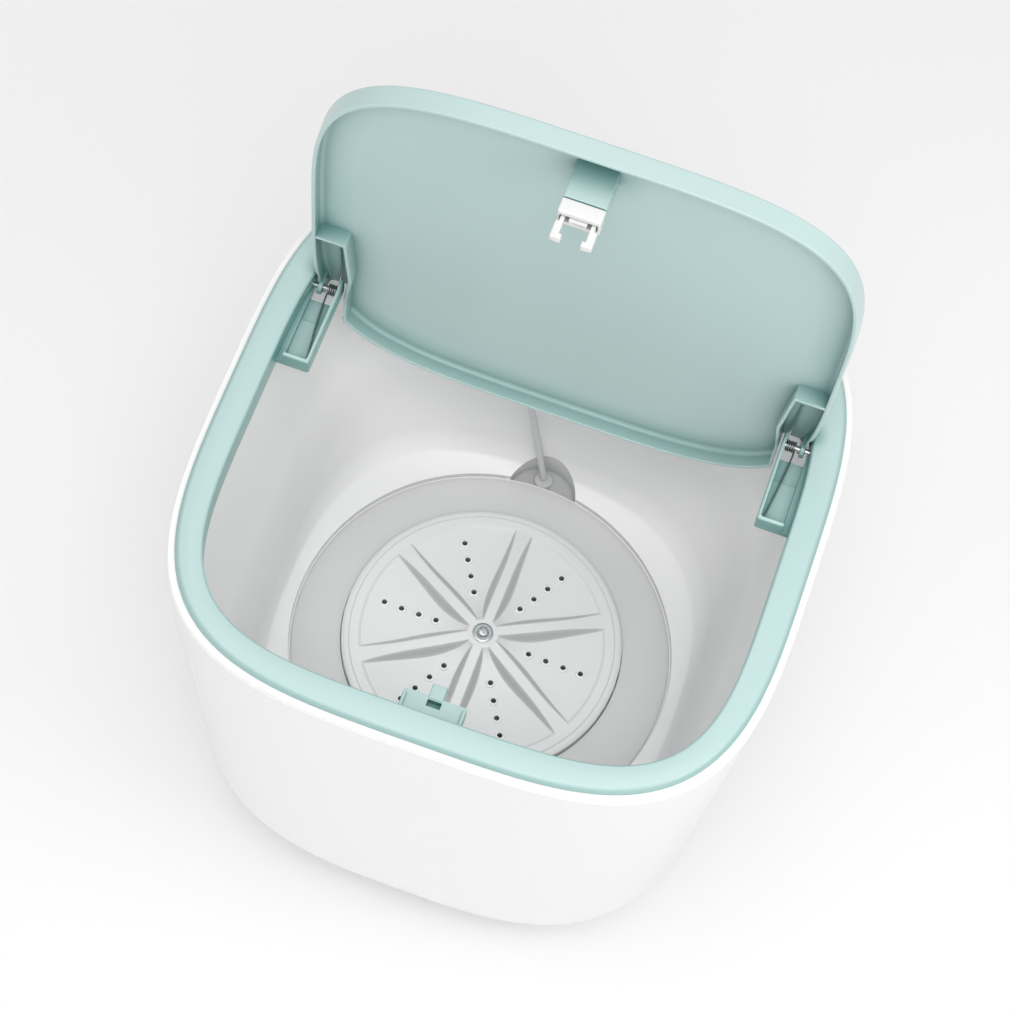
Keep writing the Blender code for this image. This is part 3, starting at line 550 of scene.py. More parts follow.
def moulded(name, colour, roughness, variation=0.04, grain=0.05, gloss=0.0, edge=0.3, crevice_shade=None, slope_shade=None):
    """Plastic with a slow colour drift, fine grain and uneven gloss.

    The crevice tint is painted shade that darkens crevices by ambient occlusion, given as its colour and how
    far it reaches; the slope tint is painted shade on upright faces, given as its colour and the two leans
    it grows between; edge lightens sharp edges, partly as rubbed wear and partly as a painted highlight.
    """
    nodes = Nodes(name)
    drift = nodes.spread(nodes.noise(5.0, 2.0), 0.0, 1.0, 0.0, 1.0)
    body = nodes.mix(drift, shade_of(colour, 1 - variation), shade_of(colour, 1 + variation))
    # sharp edges lightened by pointiness: partly rubbed wear, partly a painted highlight
    if edge:
        body = nodes.wear_and_highlight_edges(body, shade_of(colour, 1.1), edge, 0.54)
    # painted shade: faces are darkened towards the slope tint the more upright they stand
    if slope_shade:
        tint, upright_at, level_at = slope_shade
        body = nodes.mix(nodes.spread(nodes.slope(), 1.0, 0.0, upright_at, level_at), body, tint)
    # painted shade: crevices are darkened towards the crevice tint by ambient occlusion
    if crevice_shade:
        hollow = nodes.add("AmbientOcclusion", {"Distance": crevice_shade[1]}, samples=6)
        body = nodes.mix(nodes.spread(hollow.outputs["AO"], 1.0, 0.0, 0.25, 0.95), body, crevice_shade[0])
    return nodes.finish(body, roughness, grain, gloss)


def tub_plastic_painted_shade(name):
    """White tub wall with painted shade that greys it towards its foot, round a floor disc painted darker as
    shade, with painted shade in the well below the floor.
    """
    nodes = Nodes(name)
    parts = nodes.add("SeparateXYZ", {"Vector": nodes.place}).outputs
    flat = nodes.add("CombineXYZ", {"X": parts["X"], "Y": parts["Y"]}).outputs["Vector"]
    axle = (0.0, AXLE_Y, 0.0)
    from_axle = nodes.add("VectorMath", {0: flat, 1: axle}, operation="DISTANCE").outputs["Value"]
    # painted shade: upright faces low in the tub are greyed as if shaded near the foot
    low = nodes.spread(parts["Z"], 1.0, 0.0, below(FLOOR_DROP), below(0.135))
    lean = nodes.spread(nodes.slope(), 1.0, 0.0, 0.45, 0.96)
    painted_foot_shade = nodes.add("Math", {0: low, 1: lean}, operation="MULTIPLY").outputs["Value"]
    wall = nodes.mix(painted_foot_shade, (0.95, 0.94, 0.937), (0.7, 0.695, 0.695))
    # painted shade: the floor disc is painted darker than the wall round it
    disc = nodes.spread(from_axle, 1.0, 0.0, FLOOR_RADIUS - 0.0004, FLOOR_RADIUS + 0.0004)
    body = nodes.mix(disc, wall, (0.76, 0.755, 0.755))
    # painted shade: everything below the floor, in the drain well, is darkened
    painted_well_shade = nodes.spread(parts["Z"], 1.0, 0.0, below(FLOOR_DROP + 0.003), below(FLOOR_DROP + 0.001))
    body = nodes.mix(painted_well_shade, body, (0.52, 0.52, 0.525))
    drift = nodes.spread(nodes.noise(5.0, 2.0), 0.0, 0.06, 0.0, 1.0)
    return nodes.finish(nodes.mix(drift, body, (0.8, 0.8, 0.8)), 0.34, 0.02, 0.0)


def metal(name, colour, roughness, stretch=(1.0, 1.0, 1.0)):
    """Bare metal with brushed streaks, darker tarnish and brighter rubbed edges."""
    nodes = Nodes(name)
    tarnish = nodes.spread(nodes.noise(120.0, 4.0), 0.0, 1.0)
    body = nodes.mix(tarnish, shade_of(colour, 0.82), colour)
    body = nodes.wear_and_highlight_edges(body, shade_of(colour, 1.25), 0.5, 0.52)
    streak = nodes.noise(2600.0, 3.0, stretch)
    brushed = nodes.spread(streak, roughness - 0.06, roughness + 0.1)
    nodes.fill(nodes.shader, {"Metallic": 1.0, "Base Color": body, "Roughness": brushed})
    nodes.bump(streak, 0.08, 0.00005)
    return nodes.material


def rubbery(name, colour, roughness, pitch=0.0):
    """Dull rubber with dusty patches and fine pimples, or moulded ridges where pitch is given."""
    nodes = Nodes(name)
    dust = nodes.spread(nodes.noise(60.0, 5.0), 0.0, 1.0, 0.45, 0.8)
    body = nodes.mix(dust, colour, shade_of(colour, 1.6))
    nodes.fill(nodes.shader, {"Base Color": body, "Roughness": roughness})
    if pitch:
        ridges = {"Vector": nodes.place, "Scale": 1 / pitch}
        height = nodes.add("TexWave", ridges, bands_direction="Z").outputs["Fac"]
    else:
        height = nodes.noise(2200.0, 2.0)
    nodes.bump(height, 0.3, 0.0003)
    return nodes.material


def circuit(name):
    """Solder-masked board: a grid of faintly raised copper tracks under green lacquer."""
    nodes = Nodes(name)
    tracks = nodes.add("TexBrick", {
        "Vector": nodes.place, "Scale": 160.0, "Mortar Size": 0.03, "Mortar": (0.045, 0.24, 0.1),
        "Color1": (0.01, 0.11, 0.045), "Color2": (0.014, 0.14, 0.06),
    }).outputs
    lacquer = nodes.spread(nodes.noise(90.0), 0.25, 0.45)
    nodes.fill(nodes.shader, {"Base Color": tracks["Color"], "Roughness": lacquer})
    nodes.bump(tracks["Fac"], 0.2)
    return nodes.material


WHITE_SHELL = moulded("white_shell", (0.89, 0.89, 0.885), 0.32, 0.006, 0.02, 0.15, edge=0.0)
# tub white with painted shade at the wall's foot, on the floor disc and in the well
WHITE_TUB_PAINTED_SHADE = tub_plastic_painted_shade("white_tub_painted_shade")
# painted shade: the pulsator's steep rib flanks are darkened towards a deeper grey
PULSATOR_GREY = moulded("pulsator_grey", (0.85, 0.845, 0.845), 0.3, 0.006, 0.02, edge=0.0,
                        slope_shade=((0.46, 0.455, 0.455), 0.55, 0.985))
# painted highlight: a lighter copy of the pulsator's grey for its raised hole rims
PULSATOR_RIMS_PAINTED_LIGHT = moulded("pulsator_rims_painted_light", (0.93, 0.93, 0.93), 0.3, 0.006, 0.02, edge=0.0)
# painted shade: the small white parts grey in their crevices
WHITE_SMALL = moulded("white_small", (0.84, 0.84, 0.83), 0.36, 0.01, 0.05,
                      crevice_shade=((0.5, 0.5, 0.49), 0.003))
# painted shade: the mint turns dark teal in the lid's crevices and inside its skirt
MINT = moulded("mint_gloss", (0.5, 0.655, 0.64), 0.31, 0.012, 0.015, 0.2, 0.0,
               crevice_shade=((0.06, 0.215, 0.205), 0.02))
# painted shade: the rim's copy of the mint turns dark teal on its upright faces and in its crevices
MINT_RIM_PAINTED_SHADE = moulded("mint_rim_painted_shade", (0.48, 0.645, 0.63), 0.31, 0.012, 0.015, 0.2, 0.0,
                   crevice_shade=((0.1, 0.29, 0.275), 0.01), slope_shade=((0.2, 0.4, 0.38), 0.3, 0.985))
PALE_ROD = moulded("pale_rod", (0.62, 0.62, 0.625), 0.38, 0.02, 0.05)
SEAL_GREY = moulded("seal_grey", (0.6, 0.6, 0.61), 0.5, 0.03, 0.1)
PALE_PLASTIC = moulded("pale_moulding", (0.6, 0.6, 0.61), 0.42, 0.03, 0.12)
DARK_PLASTIC = moulded("dark_moulding", (0.03, 0.03, 0.032), 0.38, 0.1, 0.12)
HOSE_GREY = rubbery("corrugated_hose", (0.42, 0.42, 0.43), 0.55, 0.003)
STEEL_WIRE = metal("spring_wire", (0.66, 0.67, 0.68), 0.24)
STEEL_TURNED = metal("turned_steel", (0.6, 0.6, 0.61), 0.28, (1.0, 1.0, 0.05))
STEEL_PRESSED = metal("pressed_steel", (0.52, 0.53, 0.54), 0.34, (0.1, 1.0, 1.0))
DARK_WIRE = metal("oiled_wire", (0.36, 0.37, 0.37), 0.32)
BELT_RUBBER = rubbery("belt_rubber", (0.02, 0.02, 0.021), 0.68, 0.0016)
BLACK_RUBBER = rubbery("black_rubber", (0.028, 0.028, 0.029), 0.62)
GREEN_BOARD = circuit("green_board")


# ---- standing for CAD nodes ----
def open_lid(thing):
    """Turn a piece that was drawn with the lid shut into the lid's rest place."""
    hinge = Vector((0, HINGE_Y, HINGE_Z))
    turn = Matrix.Translation(hinge) @ Matrix.Rotation(-LID_OPEN, 4, "X") @ Matrix.Translation(-hinge)
    thing.data.transform(turn)
    return thing


def paint(thing, material):
    thing.data.materials.clear()
    thing.data.materials.append(material)


def dress(thing, node, material, sharp=38):
    """Shade a finished piece, give it its material and let it stand for a CAD node."""
    paint(thing, material)
    thing.data.shade_smooth()
    thing.data.set_sharp_from_angle(angle=radians(sharp))
    even = thing.modifiers.new("even_normals", "WEIGHTED_NORMAL")
    even.keep_sharp = True
    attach(thing, NODES[node]["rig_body"])
    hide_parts(node)


# ---- casing ----
def casing_profile():
    """Outside of the casing from its top edge down to its base opening, as (half, drop, power)."""
    rows = []
    straight = 14
    for i in range(straight):
        t = i / straight
        rows.append((toward(CASING_HALF, CASING_WAIST, t), toward(CASING_DROP, ROUNDING_TOP, t),
                     toward(RIM_POWER, WAIST_POWER, t)))
    steps = 18
    for i in range(steps + 1):
        angle = pi / 2 * i / steps
        lean = 1 - cos(angle)
        rows.append((CASING_WAIST - ROUNDING_INSET * lean, ROUNDING_TOP + ROUNDING_RISE * sin(angle),
                     toward(WAIST_POWER, BASE_POWER, lean)))
    rows.append((BASE_OPENING, ROUNDING_TOP + ROUNDING_RISE, BASE_POWER))
    return rows


def inset(rows, depth):
    """The same profile moved inwards by a wall's thickness."""
    result = []
    for i, (half, drop, power) in enumerate(rows):
        before, after = rows[max(i - 1, 0)], rows[min(i + 1, len(rows) - 1)]
        along = Vector((after[0] - before[0], after[1] - before[1])).normalized()
        result.append((half - along.y * depth, drop + along.x * depth, power))
    return result


def edge_round(start, end, power, steps=6):
    """Half-round nose between the outer and the inner end of a wall, bulging past both."""
    middle = (Vector(start) + Vector(end)) / 2
    arm = Vector(start) - middle
    nose = Vector((-arm.y, arm.x))
    rows = []
    for i in range(1, steps):
        angle = pi * i / steps
        place = middle + arm * cos(angle) + nose * sin(angle) * 0.5
        rows.append((place.x, place.y, power))
    return rows


def build_casing():
    outer = casing_profile()
    inner = inset(outer, WALL)[::-1]
    foot = edge_round(outer[-1][:2], inner[0][:2], BASE_POWER)
    head = edge_round(inner[-1][:2], outer[0][:2], RIM_POWER)
    rings = [(square(half, power), drop) for half, drop, power in outer + foot + inner + head]
    casing = loft("casing", rings, loop=True)
    low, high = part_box("rear_panel")
    margin = Vector((0.0003, 0.012, 0.0003))
    window = block("window", low - margin, high + margin, 0.003)
    level = below(OUTLET_DROP)
    port = rod("port", (DRAIN_X, 0.14, level), (DRAIN_X, 0.175, level), 0.0064)
    cut(casing, window, port, screw_ways(below(0.345)))
    dress(casing, "outer_shell", WHITE_SHELL)


def screw_ways(low):
    """Bars through the four base screws, wherever the CAD has them."""
    spans = [upright(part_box("base_screw_%d" % i), low, below(SCREW_WAY_TOP)) for i in range(1, 5)]
    return rods("screw_ways", spans, SCREW_WAY)


def build_base():
    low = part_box("base_plate")[0]
    bottom = below(PLATE_DROP + PLATE_THICK)
    inside = PLATE_HALF - 0.02
    section = [(inside, 0.0), (PLATE_HALF, 0.0), (PLATE_HALF, PLATE_THICK), (inside, PLATE_THICK)]
    section = rounded(section, 0.0009)
    rings = [(square(half, BASE_POWER), PLATE_DROP + drop) for half, drop in section]
    plate = loft("base_cover", rings)
    ribs = []
    for turn in (0.0, pi / 2):
        for shift in (-RIB_PITCH, 0.0, RIB_PITCH):
            near = (-RIB_REACH, shift - 0.0012, bottom - 0.001)
            rib = block("rib", near, (RIB_REACH, shift + 0.0012, bottom + 0.001), 0.0004)
            rib.data.transform(Matrix.Rotation(turn, 4, "Z"))
            ribs.append(rib)
    near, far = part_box("control_board")
    corners = [(x, y) for x in (near.x + 0.006, far.x - 0.006) for y in (near.y + 0.006, far.y - 0.006)]
    posts = [((x, y, bottom + 0.001), (x, y, near.z - 0.0003)) for x, y in corners]
    join(plate, *ribs, rods("posts", posts, 0.003))
    cut(plate, screw_ways(low.z - 0.01))
    dress(plate, "base_plate", WHITE_SHELL)
    for i in range(1, 5):
        name = "foot_%d" % i
        base, tall = stand(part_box(name))
        profile = [(0.0085, tall), (0.0092, tall), (0.0113, 0.003), (0.0104, 0.0), (0.0086, 0.0),
                   (0.008, 0.0008), (0.0062, 0.0008), (0.0056, 0.0), (0.0038, 0.0), (0.0032, 0.0008)]
        pad = turned("rubber_pad_%d" % i, rounded(profile, 0.0004, steps=3), base)
        dress(pad, name, BLACK_RUBBER)
        screw("base_fixing_%d" % i, "base_screw_%d" % i, 0.0032, 0.0016, -1)


def screw(name, node, head, shank, way):
    """Pan-head screw with a cross recess, standing for a CAD screw. way is +1 if the head is up."""
    base, tall = stand(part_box(node))
    if way < 0:
        base.z += tall
    face = Vector((base.x, base.y, base.z + way * tall))
    neck = tall - 0.002
    crown = [(head * 0.35, tall), (head * 0.72, tall - 0.00025), (head * 0.94, tall - 0.0008),
             (head, tall - 0.0015), (head * 0.97, neck), (shank, neck), (shank, 0.0008), (shank * 0.5, 0.0)]
    body = turned(name, rounded(crown, 0.0002, steps=3), base, (0, 0, way), 36)
    long, wide = head * 0.56, head * 0.12
    arms = []
    for turn in (0.35, 0.35 + pi / 2):
        arm = block("arm", (-long, -wide, -0.0011), (long, wide, 0.001), 0.0001)
        arm.data.transform(Matrix.Translation(face) @ Matrix.Rotation(turn, 4, "Z"))
        if way < 0:
            flip = Matrix.Translation(face) @ Matrix.Rotation(pi, 4, "X") @ Matrix.Translation(-face)
            arm.data.transform(flip)
        arms.append(arm)
    cut(body, *arms)
    dress(body, node, STEEL_TURNED, 45)


# ---- tub ----
# depth: half width, depth less than width, squareness, middle
TUB_WALL = (
    (0.02, 0.1528, 0.0061, 4.2, -0.0061),
    (0.07, 0.1497, 0.0025, 3.95, -0.0075),
    (0.12, 0.1455, 0.0, 3.7, -0.0095),
    (0.16, 0.1388, 0.0, 3.25, -0.016),
    (0.184, 0.13, 0.0, 2.9, -0.022),
    (0.1935, 0.1243, 0.0, 2.6, -0.0247),
    (0.1955, 0.1212, 0.0, 2.4, AXLE_Y),
    (0.1975, 0.1172, 0.0, 2.03, AXLE_Y),
)


def wall_ring(drop, grow=0.0):
    half, short, power, middle = interpolate(TUB_WALL, drop)
    return superellipse(half + grow, half - short + grow, power, middle)


def tub_floor_rings():
    """Top of the floor from the hub hole out to the foot of the wall."""
    line = rounded([
        (HUB_HOLE, RECESS_DROP), (RECESS_RADIUS - 0.0005, RECESS_DROP), (RECESS_RADIUS - 0.0003, RECESS_TOP),
        (0.0995, 0.1939), (FLOOR_RADIUS - 0.0006, FLOOR_DROP), (FLOOR_RADIUS + 0.0002, FLOOR_DROP + 0.0012),
        (FLOOR_RADIUS + 0.001, FLOOR_DROP + 0.001), (0.1167, 0.1976), (0.1172, 0.1975),
    ], [0.0, 0.0012, 0.0005, 0.0, 0.0018, 0.0004, 0.0003, 0.0005, 0.0])
    return [(circle(radius), drop) for radius, drop in line]


def tub_rings():
    rings = tub_floor_rings()
    drops = [0.1972, 0.1968, 0.1964, 0.196, 0.1955, 0.195, 0.1945, 0.194, 0.1935, 0.193, 0.1924, 0.1916,
             0.1905, 0.1892, 0.1876, 0.1858, 0.184]
    drops += [0.184 - (0.184 - 0.02) * i / 26 for i in range(1, 27)]
    rings += [(wall_ring(drop), drop) for drop in drops]
    lip = ((0.0, 0.0046), (0.0004, 0.0041), (0.0012, FLANGE_DROP))
    rings += [(opening_outline(MOUTH + grow), drop) for grow, drop in lip]
    edge = rounded([(-0.003, 0.0), (0.0, 0.0), (0.0, WALL), (-0.003, WALL)], 0.0011)
    rings += [(square(FLANGE_HALF + grow, RIM_POWER), FLANGE_DROP + drop) for grow, drop in edge]
    rings.append((opening_outline(MOUTH + WALL), FLANGE_DROP + WALL))
    rings += [(wall_ring(drop, WALL), drop + WALL * 0.3) for drop, *_ in TUB_WALL[:6]]
    under = [(0.119, 0.203), (RECESS_RADIUS + 0.0028, 0.1914), (RECESS_RADIUS + 0.0022, 0.196),
             (HUB_HOLE, 0.196)]
    return rings + [(circle(radius), drop) for radius, drop in under]


def rod_ends():
    low = Vector((DRAIN_X, DRAIN_Y, below(PLUG_TOP) + 0.0012))
    return low, Vector((*KNOB, TOP + 0.005))


def rod_passage():
    seat, grip = rod_ends()
    slope = (grip - seat).normalized()
    return rod("rod_passage", grip - slope * 0.09, grip + slope * 0.01, ROD_RADIUS + 0.0008)


def build_tub():
    tub = loft("wash_tub", tub_rings(), loop=True)
    centre = (NICHE_X, NICHE_Y, 0)
    outside = NICHE_RADIUS + WALL
    shell = turned("niche_shell", [(outside, below(0.186)), (outside, below(0.2078)),
                                   (NICHE_RADIUS + 0.0012, below(NICHE_DROP + WALL))], centre, steps=96)
    wall = [(wall_ring(drop, 0.0009), drop + 0.0004) for drop in (0.12, 0.16, 0.184, 0.19, 0.1935, 0.1965)]
    cavity = loft("cavity", wall + [(circle(FLOOR_RADIUS), 0.2014)])
    cut(shell, cavity)
    bosses = []
    pilots = []
    for i in range(1, 4):
        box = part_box("housing_screw_%d" % i)
        bosses.append(upright(box, below(0.206), below(0.1948)))
        pilots.append(upright(box, below(0.207), below(0.197)))
    join(tub, shell, rods("bosses", bosses, 0.004))
    hollow_line = rounded([(NICHE_RADIUS, below(0.18)), (NICHE_RADIUS, below(NICHE_DROP)),
                           (NICHE_RADIUS - 0.008, below(NICHE_DROP))], 0.0035, steps=6)
    hollow = turned("niche_hollow", hollow_line, centre, steps=96)
    beyond = 0.215
    edge = FLOOR_RADIUS + 0.0006
    disc = turned("disc", [(edge, below(0.17)), (edge, below(beyond))], (0, AXLE_Y, 0), steps=OUTLINE)
    cut(hollow, disc)
    drain = drill("drain", DRAIN_X, DRAIN_Y, beyond, 0.2, 0.005)
    cut(tub, hollow, drain, rods("pilots", pilots, 0.0016), rod_passage())
    dress(tub, "inner_tub", WHITE_TUB_PAINTED_SHADE, 34)


# ---- rim ----
def rim_rings():
    """Section of the rim as a closed line, with its top face crowned between the edges."""
    line = rounded([
        (RIM_HALF - 0.0006, RIM_CROWN), (RIM_HALF + 0.0005, 0.0012), (RIM_HALF + 0.0023, RIM_LIP - 0.0002),
        (RIM_HALF - 0.0004, RIM_LIP), (RIM_HALF - 0.0022, WALL), (OPENING_HALF_X + 0.0025, WALL),
        (OPENING_HALF_X + 0.0025, RIM_SKIRT), (OPENING_HALF_X, RIM_SKIRT), (OPENING_HALF_X, 0.0013),
        (OPENING_HALF_X + 0.001, RIM_CROWN * 0.7),
    ], [0.0008, 0.0006, 0.0007, 0.0003, 0.0006, 0.0006, 0.0006, 0.0009, 0.0004, 0.0005], closed=True)
    middle = (RIM_HALF + OPENING_HALF_X) / 2
    rings = []
    for reach, drop in line:
        outer = reach > middle
        outline = rim_outline(reach - RIM_HALF) if outer else opening_outline(reach - OPENING_HALF_X)
        rings.append((outline, drop))
    steps = 8
    inner, start = rings[-1]
    outer, end = rings[0]
    for i in range(1, steps):
        t = i / steps
        rings.append((between(inner, outer, t), toward(start, end, t) * (2 * t - 1) ** 2))
    return rings


def hinge_tray(side, mould):
    """Tray under a hinge, open at the back, with a step in its floor and a notch for the lid's ear."""
    far = TRAY_BACK + 0.01
    inside = span(side, TRAY_IN + 0.0019, SLOT_OUT)
    along = (TRAY_FRONT, TRAY_BACK)
    tray = brick("tray", span(side, TRAY_IN, EMBED), along, (TRAY_DEEP, TRAY_DROP), 0.0016, 4)
    hollow = brick("hollow", inside, (TRAY_FRONT + 0.002, far), (TRAY_DEEP - 0.002, 0.0), 0.0012)
    step = brick("step", inside, (0.052, far), (TRAY_DEEP - 0.0012, 0.0), 0.0008)
    window = brick("window", inside, (0.0665, far), (0.03, 0.0))
    notch = brick("notch", span(side, SLOT_OUT - 0.0004, OUTSIDE), (0.0, far), (0.0125, -0.01))
    trim(tray, mould)
    return cut(tray, hollow, step, window, notch)


def keeper(mould):
    """Shelf on the front inner wall, with a slot and a low lip at each end."""
    shelf = brick("shelf", (-0.018, 0.018), (-EMBED, -0.127), (KEEPER_DROP + 0.01, 0.013), 0.0014)
    above = brick("above", (-0.02, 0.02), (-0.1474, -0.12), (KEEPER_DROP, 0.0), 0.0008)
    slot = brick("slot", (-0.004, 0.004), (-0.133, -0.129), (KEEPER_DROP + 0.005, 0.0), 0.0003)
    trim(shelf, mould)
    tall = (KEEPER_DROP + 0.002, KEEPER_DROP - 0.001)
    lips = [brick("lip", span(side, 0.016, 0.0178), (-0.145, -0.129), tall, 0.0004) for side in (-1, 1)]
    return join(cut(shelf, above, slot), *lips)


def hinge_bar(name, low, high):
    """Bar on the hinge axis that bores a hole for its pin."""
    return rod(name, (low, HINGE_Y, HINGE_Z), (high, HINGE_Y, HINGE_Z), PIN_HOLE)


def build_rim():
    rim = loft("mint_rim", rim_rings(), loop=True)
    embedded = opening_outline(0.0012)
    mould = loft("mould", [(embedded, -0.02), (embedded, 0.06)])
    added = []
    slots = []
    for side in (-1, 1):
        cheek = brick("cheek", span(side, 0.1302, EMBED), (0.0872, 0.118), (0.012, 0.0004), 0.0007)
        added += [hinge_tray(side, mould), trim(cheek, mould)]
        across = span(side, 0.14, SLOT_OUT)
        slots.append(brick("ear_slot", across, (0.066, 0.0866), (0.016, -0.01), 0.0004))
        near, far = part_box("hinge_pin_right" if side > 0 else "hinge_pin_left")
        slots.append(hinge_bar("pin_way", near.x - 0.0003, far.x + 0.0003))
    tall = (KEEPER_DROP + 0.0046, KEEPER_DROP - 0.0004)
    tongue = brick("tongue", (-0.0042, 0.0042), (-0.1286, -0.1195), tall, 0.0008)
    join(rim, *added, keeper(mould), tongue)
    cut(rim, *slots, rod_passage())
    discard(mould)
    dress(rim, "top_ring", MINT_RIM_PAINTED_SHADE, 34)


# ---- lid ----
def lid_rings():
    """Section of the lid from the middle of its outer face, round its skirt, to the middle inside."""
    far = -0.12
    line = rounded([
        (far, 0.0), (-0.06, 0.0), (-0.015, 0.0), (-0.0002, 0.0), (-0.001, LID_DEPTH),
        (-0.001 - LID_WALL, LID_DEPTH), (-0.0004 - LID_WALL, LID_WALL), (-0.02, LID_WALL),
        (-0.06, LID_WALL), (far, LID_WALL),
    ], [0, 0, 0, 0.0016, 0.0008, 0.0008, 0.003, 0, 0, 0], steps=6)
    return [(lid_outline(grow), drop) for grow, drop in line]


def pocket_wall(side):
    edge = TONGUE_HALF - 0.0002
    path = [(0.1471, -POCKET_FRONT), (0.13, -POCKET_FRONT), (0.1268, -0.016), (edge, 0.005), (edge, 0.0345)]
    inner = [(0.1472, -POCKET_FRONT - 0.002), (0.1282, -POCKET_FRONT - 0.002), (0.1247, -0.016),
             (edge - 0.002, 0.0052), (edge - 0.002, 0.0345)]
    path = rounded(path, 0.0008, steps=4)
    inner = rounded(inner, 0.0014, steps=4)
    outline = [(side * x, HINGE_Y + y) for x, y in path + inner[::-1]]
    return slab("pocket", outline, below(LID_DEPTH - 0.0002), below(0.0011), 0.0006)


def lid_ear(side):
    """Round ear that turns on the hinge pin, and the root that joins it to the lid."""
    low, high = span(side, EAR_OUT - 0.0029, EAR_OUT - 0.0002)
    wide = high - low
    core = EAR_RADIUS * 0.3
    line = rounded([(core, wide), (EAR_RADIUS, wide), (EAR_RADIUS, 0.0), (core, 0.0)], 0.0007)
    ear = turned("ear", line, (low, HINGE_Y, HINGE_Z), (1, 0, 0), 48)
    near, far = (low, HINGE_Y - EAR_RADIUS, HINGE_Z), (high, HINGE_Y + EAR_RADIUS, below(0.0012))
    root = block("root", near, far, 0.0006)
    return ear, root


def build_lid():
    lid = loft("mint_lid", lid_rings())
    notches = []
    added = []
    holes = []
    for side in (-1, 1):
        behind = (HINGE_Y + 0.005, HINGE_Y + 0.04)
        notches.append(brick("notch", span(side, TONGUE_HALF, OUTSIDE), behind, (0.02, -0.005)))
        taper = [(EAR_OUT, 0.02), (EAR_OUT, -0.0125), (0.153, -0.03), (OUTSIDE, 0.02)]
        taper = [(side * x, HINGE_Y + y) for x, y in taper]
        notches.append(slab("taper", taper, below(0.03), below(-0.01)))
        added += [pocket_wall(side), *lid_ear(side)]
        holes.append(hinge_bar("ear_way", *span(side, 0.138, 0.15)))
    bracket = latch_block("bracket", 0.0112, 0.006, LATCH_BODY_DROP - 0.0003, 0.0012, 0.0009)
    holes.append(latch_block("socket", 0.0091, 0.0042, 0.03, 0.012))
    cut(lid, *notches)
    join(lid, *added, bracket)
    cut(lid, *holes)
    dress(open_lid(lid), "lid_shell", MINT, 34)


# ---- latch ----
def latch_block(name, half_x, half_y, bottom, top, radius=0.0):
    """Box round the latch's middle, between two depths under the rim, with the lid shut."""
    return brick(name, (-half_x, half_x), (LATCH_Y - half_y, LATCH_Y + half_y), (bottom, top), radius)


def latch_jaw(side, word):
    """Jaw with a hook turned inwards and a thicker tip, drilled for its pin."""
    along = (LATCH_Y - 0.0022, LATCH_Y + 0.0022)
    inner, outer = JAW_X - 0.0011, JAW_X + 0.0011
    jaw = brick("catch_jaw_" + word, span(side, inner, outer), along, (JAW_TIP_DROP, 0.0262), 0.0004)
    tip = (JAW_TIP_DROP, JAW_TIP_DROP - 0.003)
    hook = brick("hook", span(side, JAW_X - 0.0028, JAW_X - 0.0005), along, tip, 0.0005)
    palm = brick("palm", span(side, inner, JAW_X + 0.003), along, (JAW_TIP_DROP, 0.0362), 0.001)
    cut(join(jaw, hook, palm), rod("way", *pin_way(side, 0.004), JAW_PIN_WAY))
    dress(open_lid(jaw), "latch_jaw_" + word, WHITE_SMALL)


def pin_way(side, reach):
    """Ends of the hole for a jaw's pin."""
    level = below(JAW_PIN_DROP)
    return (side * JAW_X, LATCH_Y - reach, level), (side * JAW_X, LATCH_Y + reach, level)


def build_latch():
    body = latch_block("catch_body", 0.0113, 0.006, 0.0335, LATCH_BODY_DROP, 0.001)
    stem = latch_block("stem", 0.0088, 0.0039, 0.023, 0.0124, 0.0003)
    slot = latch_block("slot", 0.0099, 0.0027, 0.036, 0.0246, 0.0003)
    well = drill("well", 0, LATCH_Y, 0.03, 0.015, 0.0026)
    ways = rods("ways", [pin_way(side, 0.0055) for side in (-1, 1)], JAW_PIN_WAY)
    cut(join(body, stem), slot, well, ways)
    dress(open_lid(body), "latch_body", WHITE_SMALL)
    plunger = latch_block("catch_plunger", 0.0048, 0.0023, 0.0349, 0.029, 0.0006)
    groove = latch_block("groove", 0.003, 0.0004, 0.036, 0.0345)
    bore = drill("bore", 0, LATCH_Y, 0.0329, 0.027, 0.0019)
    dress(open_lid(cut(plunger, groove, bore)), "latch_slider", WHITE_SMALL)
    points = []
    foot, head = 0.0286, 0.0155
    per_turn = 20
    count = CATCH_COIL_TURNS * per_turn
    for i in range(count + 1):
        angle = 2 * pi * i / per_turn
        x, y = CATCH_COIL_RADIUS * cos(angle), LATCH_Y + CATCH_COIL_RADIUS * sin(angle)
        points.append((x, y, below(foot + (head - foot) * i / count)))
    dress(open_lid(wire("catch_coil", points, 0.0003)), "latch_spring", STEEL_WIRE, 60)
    for side, word in SIDES:
        latch_jaw(side, word)


# ---- hinge pins and springs ----
def coil_with_leg(side):
    """Torsion coil round the hinge pin: down from the lid's leg, round the pin and out along the tray."""
    per_turn = 24
    count = round(COIL_TURNS * per_turn)
    points = [(side * (COIL_IN - 0.0003), HINGE_Y + COIL_RADIUS * 0.98, HINGE_Z + 0.0022)]
    for i in range(count + 1):
        angle = -2 * pi * i / per_turn
        x = side * toward(COIL_IN, COIL_OUT, i / count)
        points.append((x, HINGE_Y + COIL_RADIUS * cos(angle), HINGE_Z + COIL_RADIUS * sin(angle)))
    bends = ((COIL_OUT, 0.07, 0.0145), (0.1378, 0.06, 0.0143), (0.1361, 0.043, 0.0142),
             (0.1339, 0.0262, 0.0142))
    leg = [points.pop()] + [(side * x, y, below(drop)) for x, y, drop in bends]
    return points + smooth_path(leg, 5)


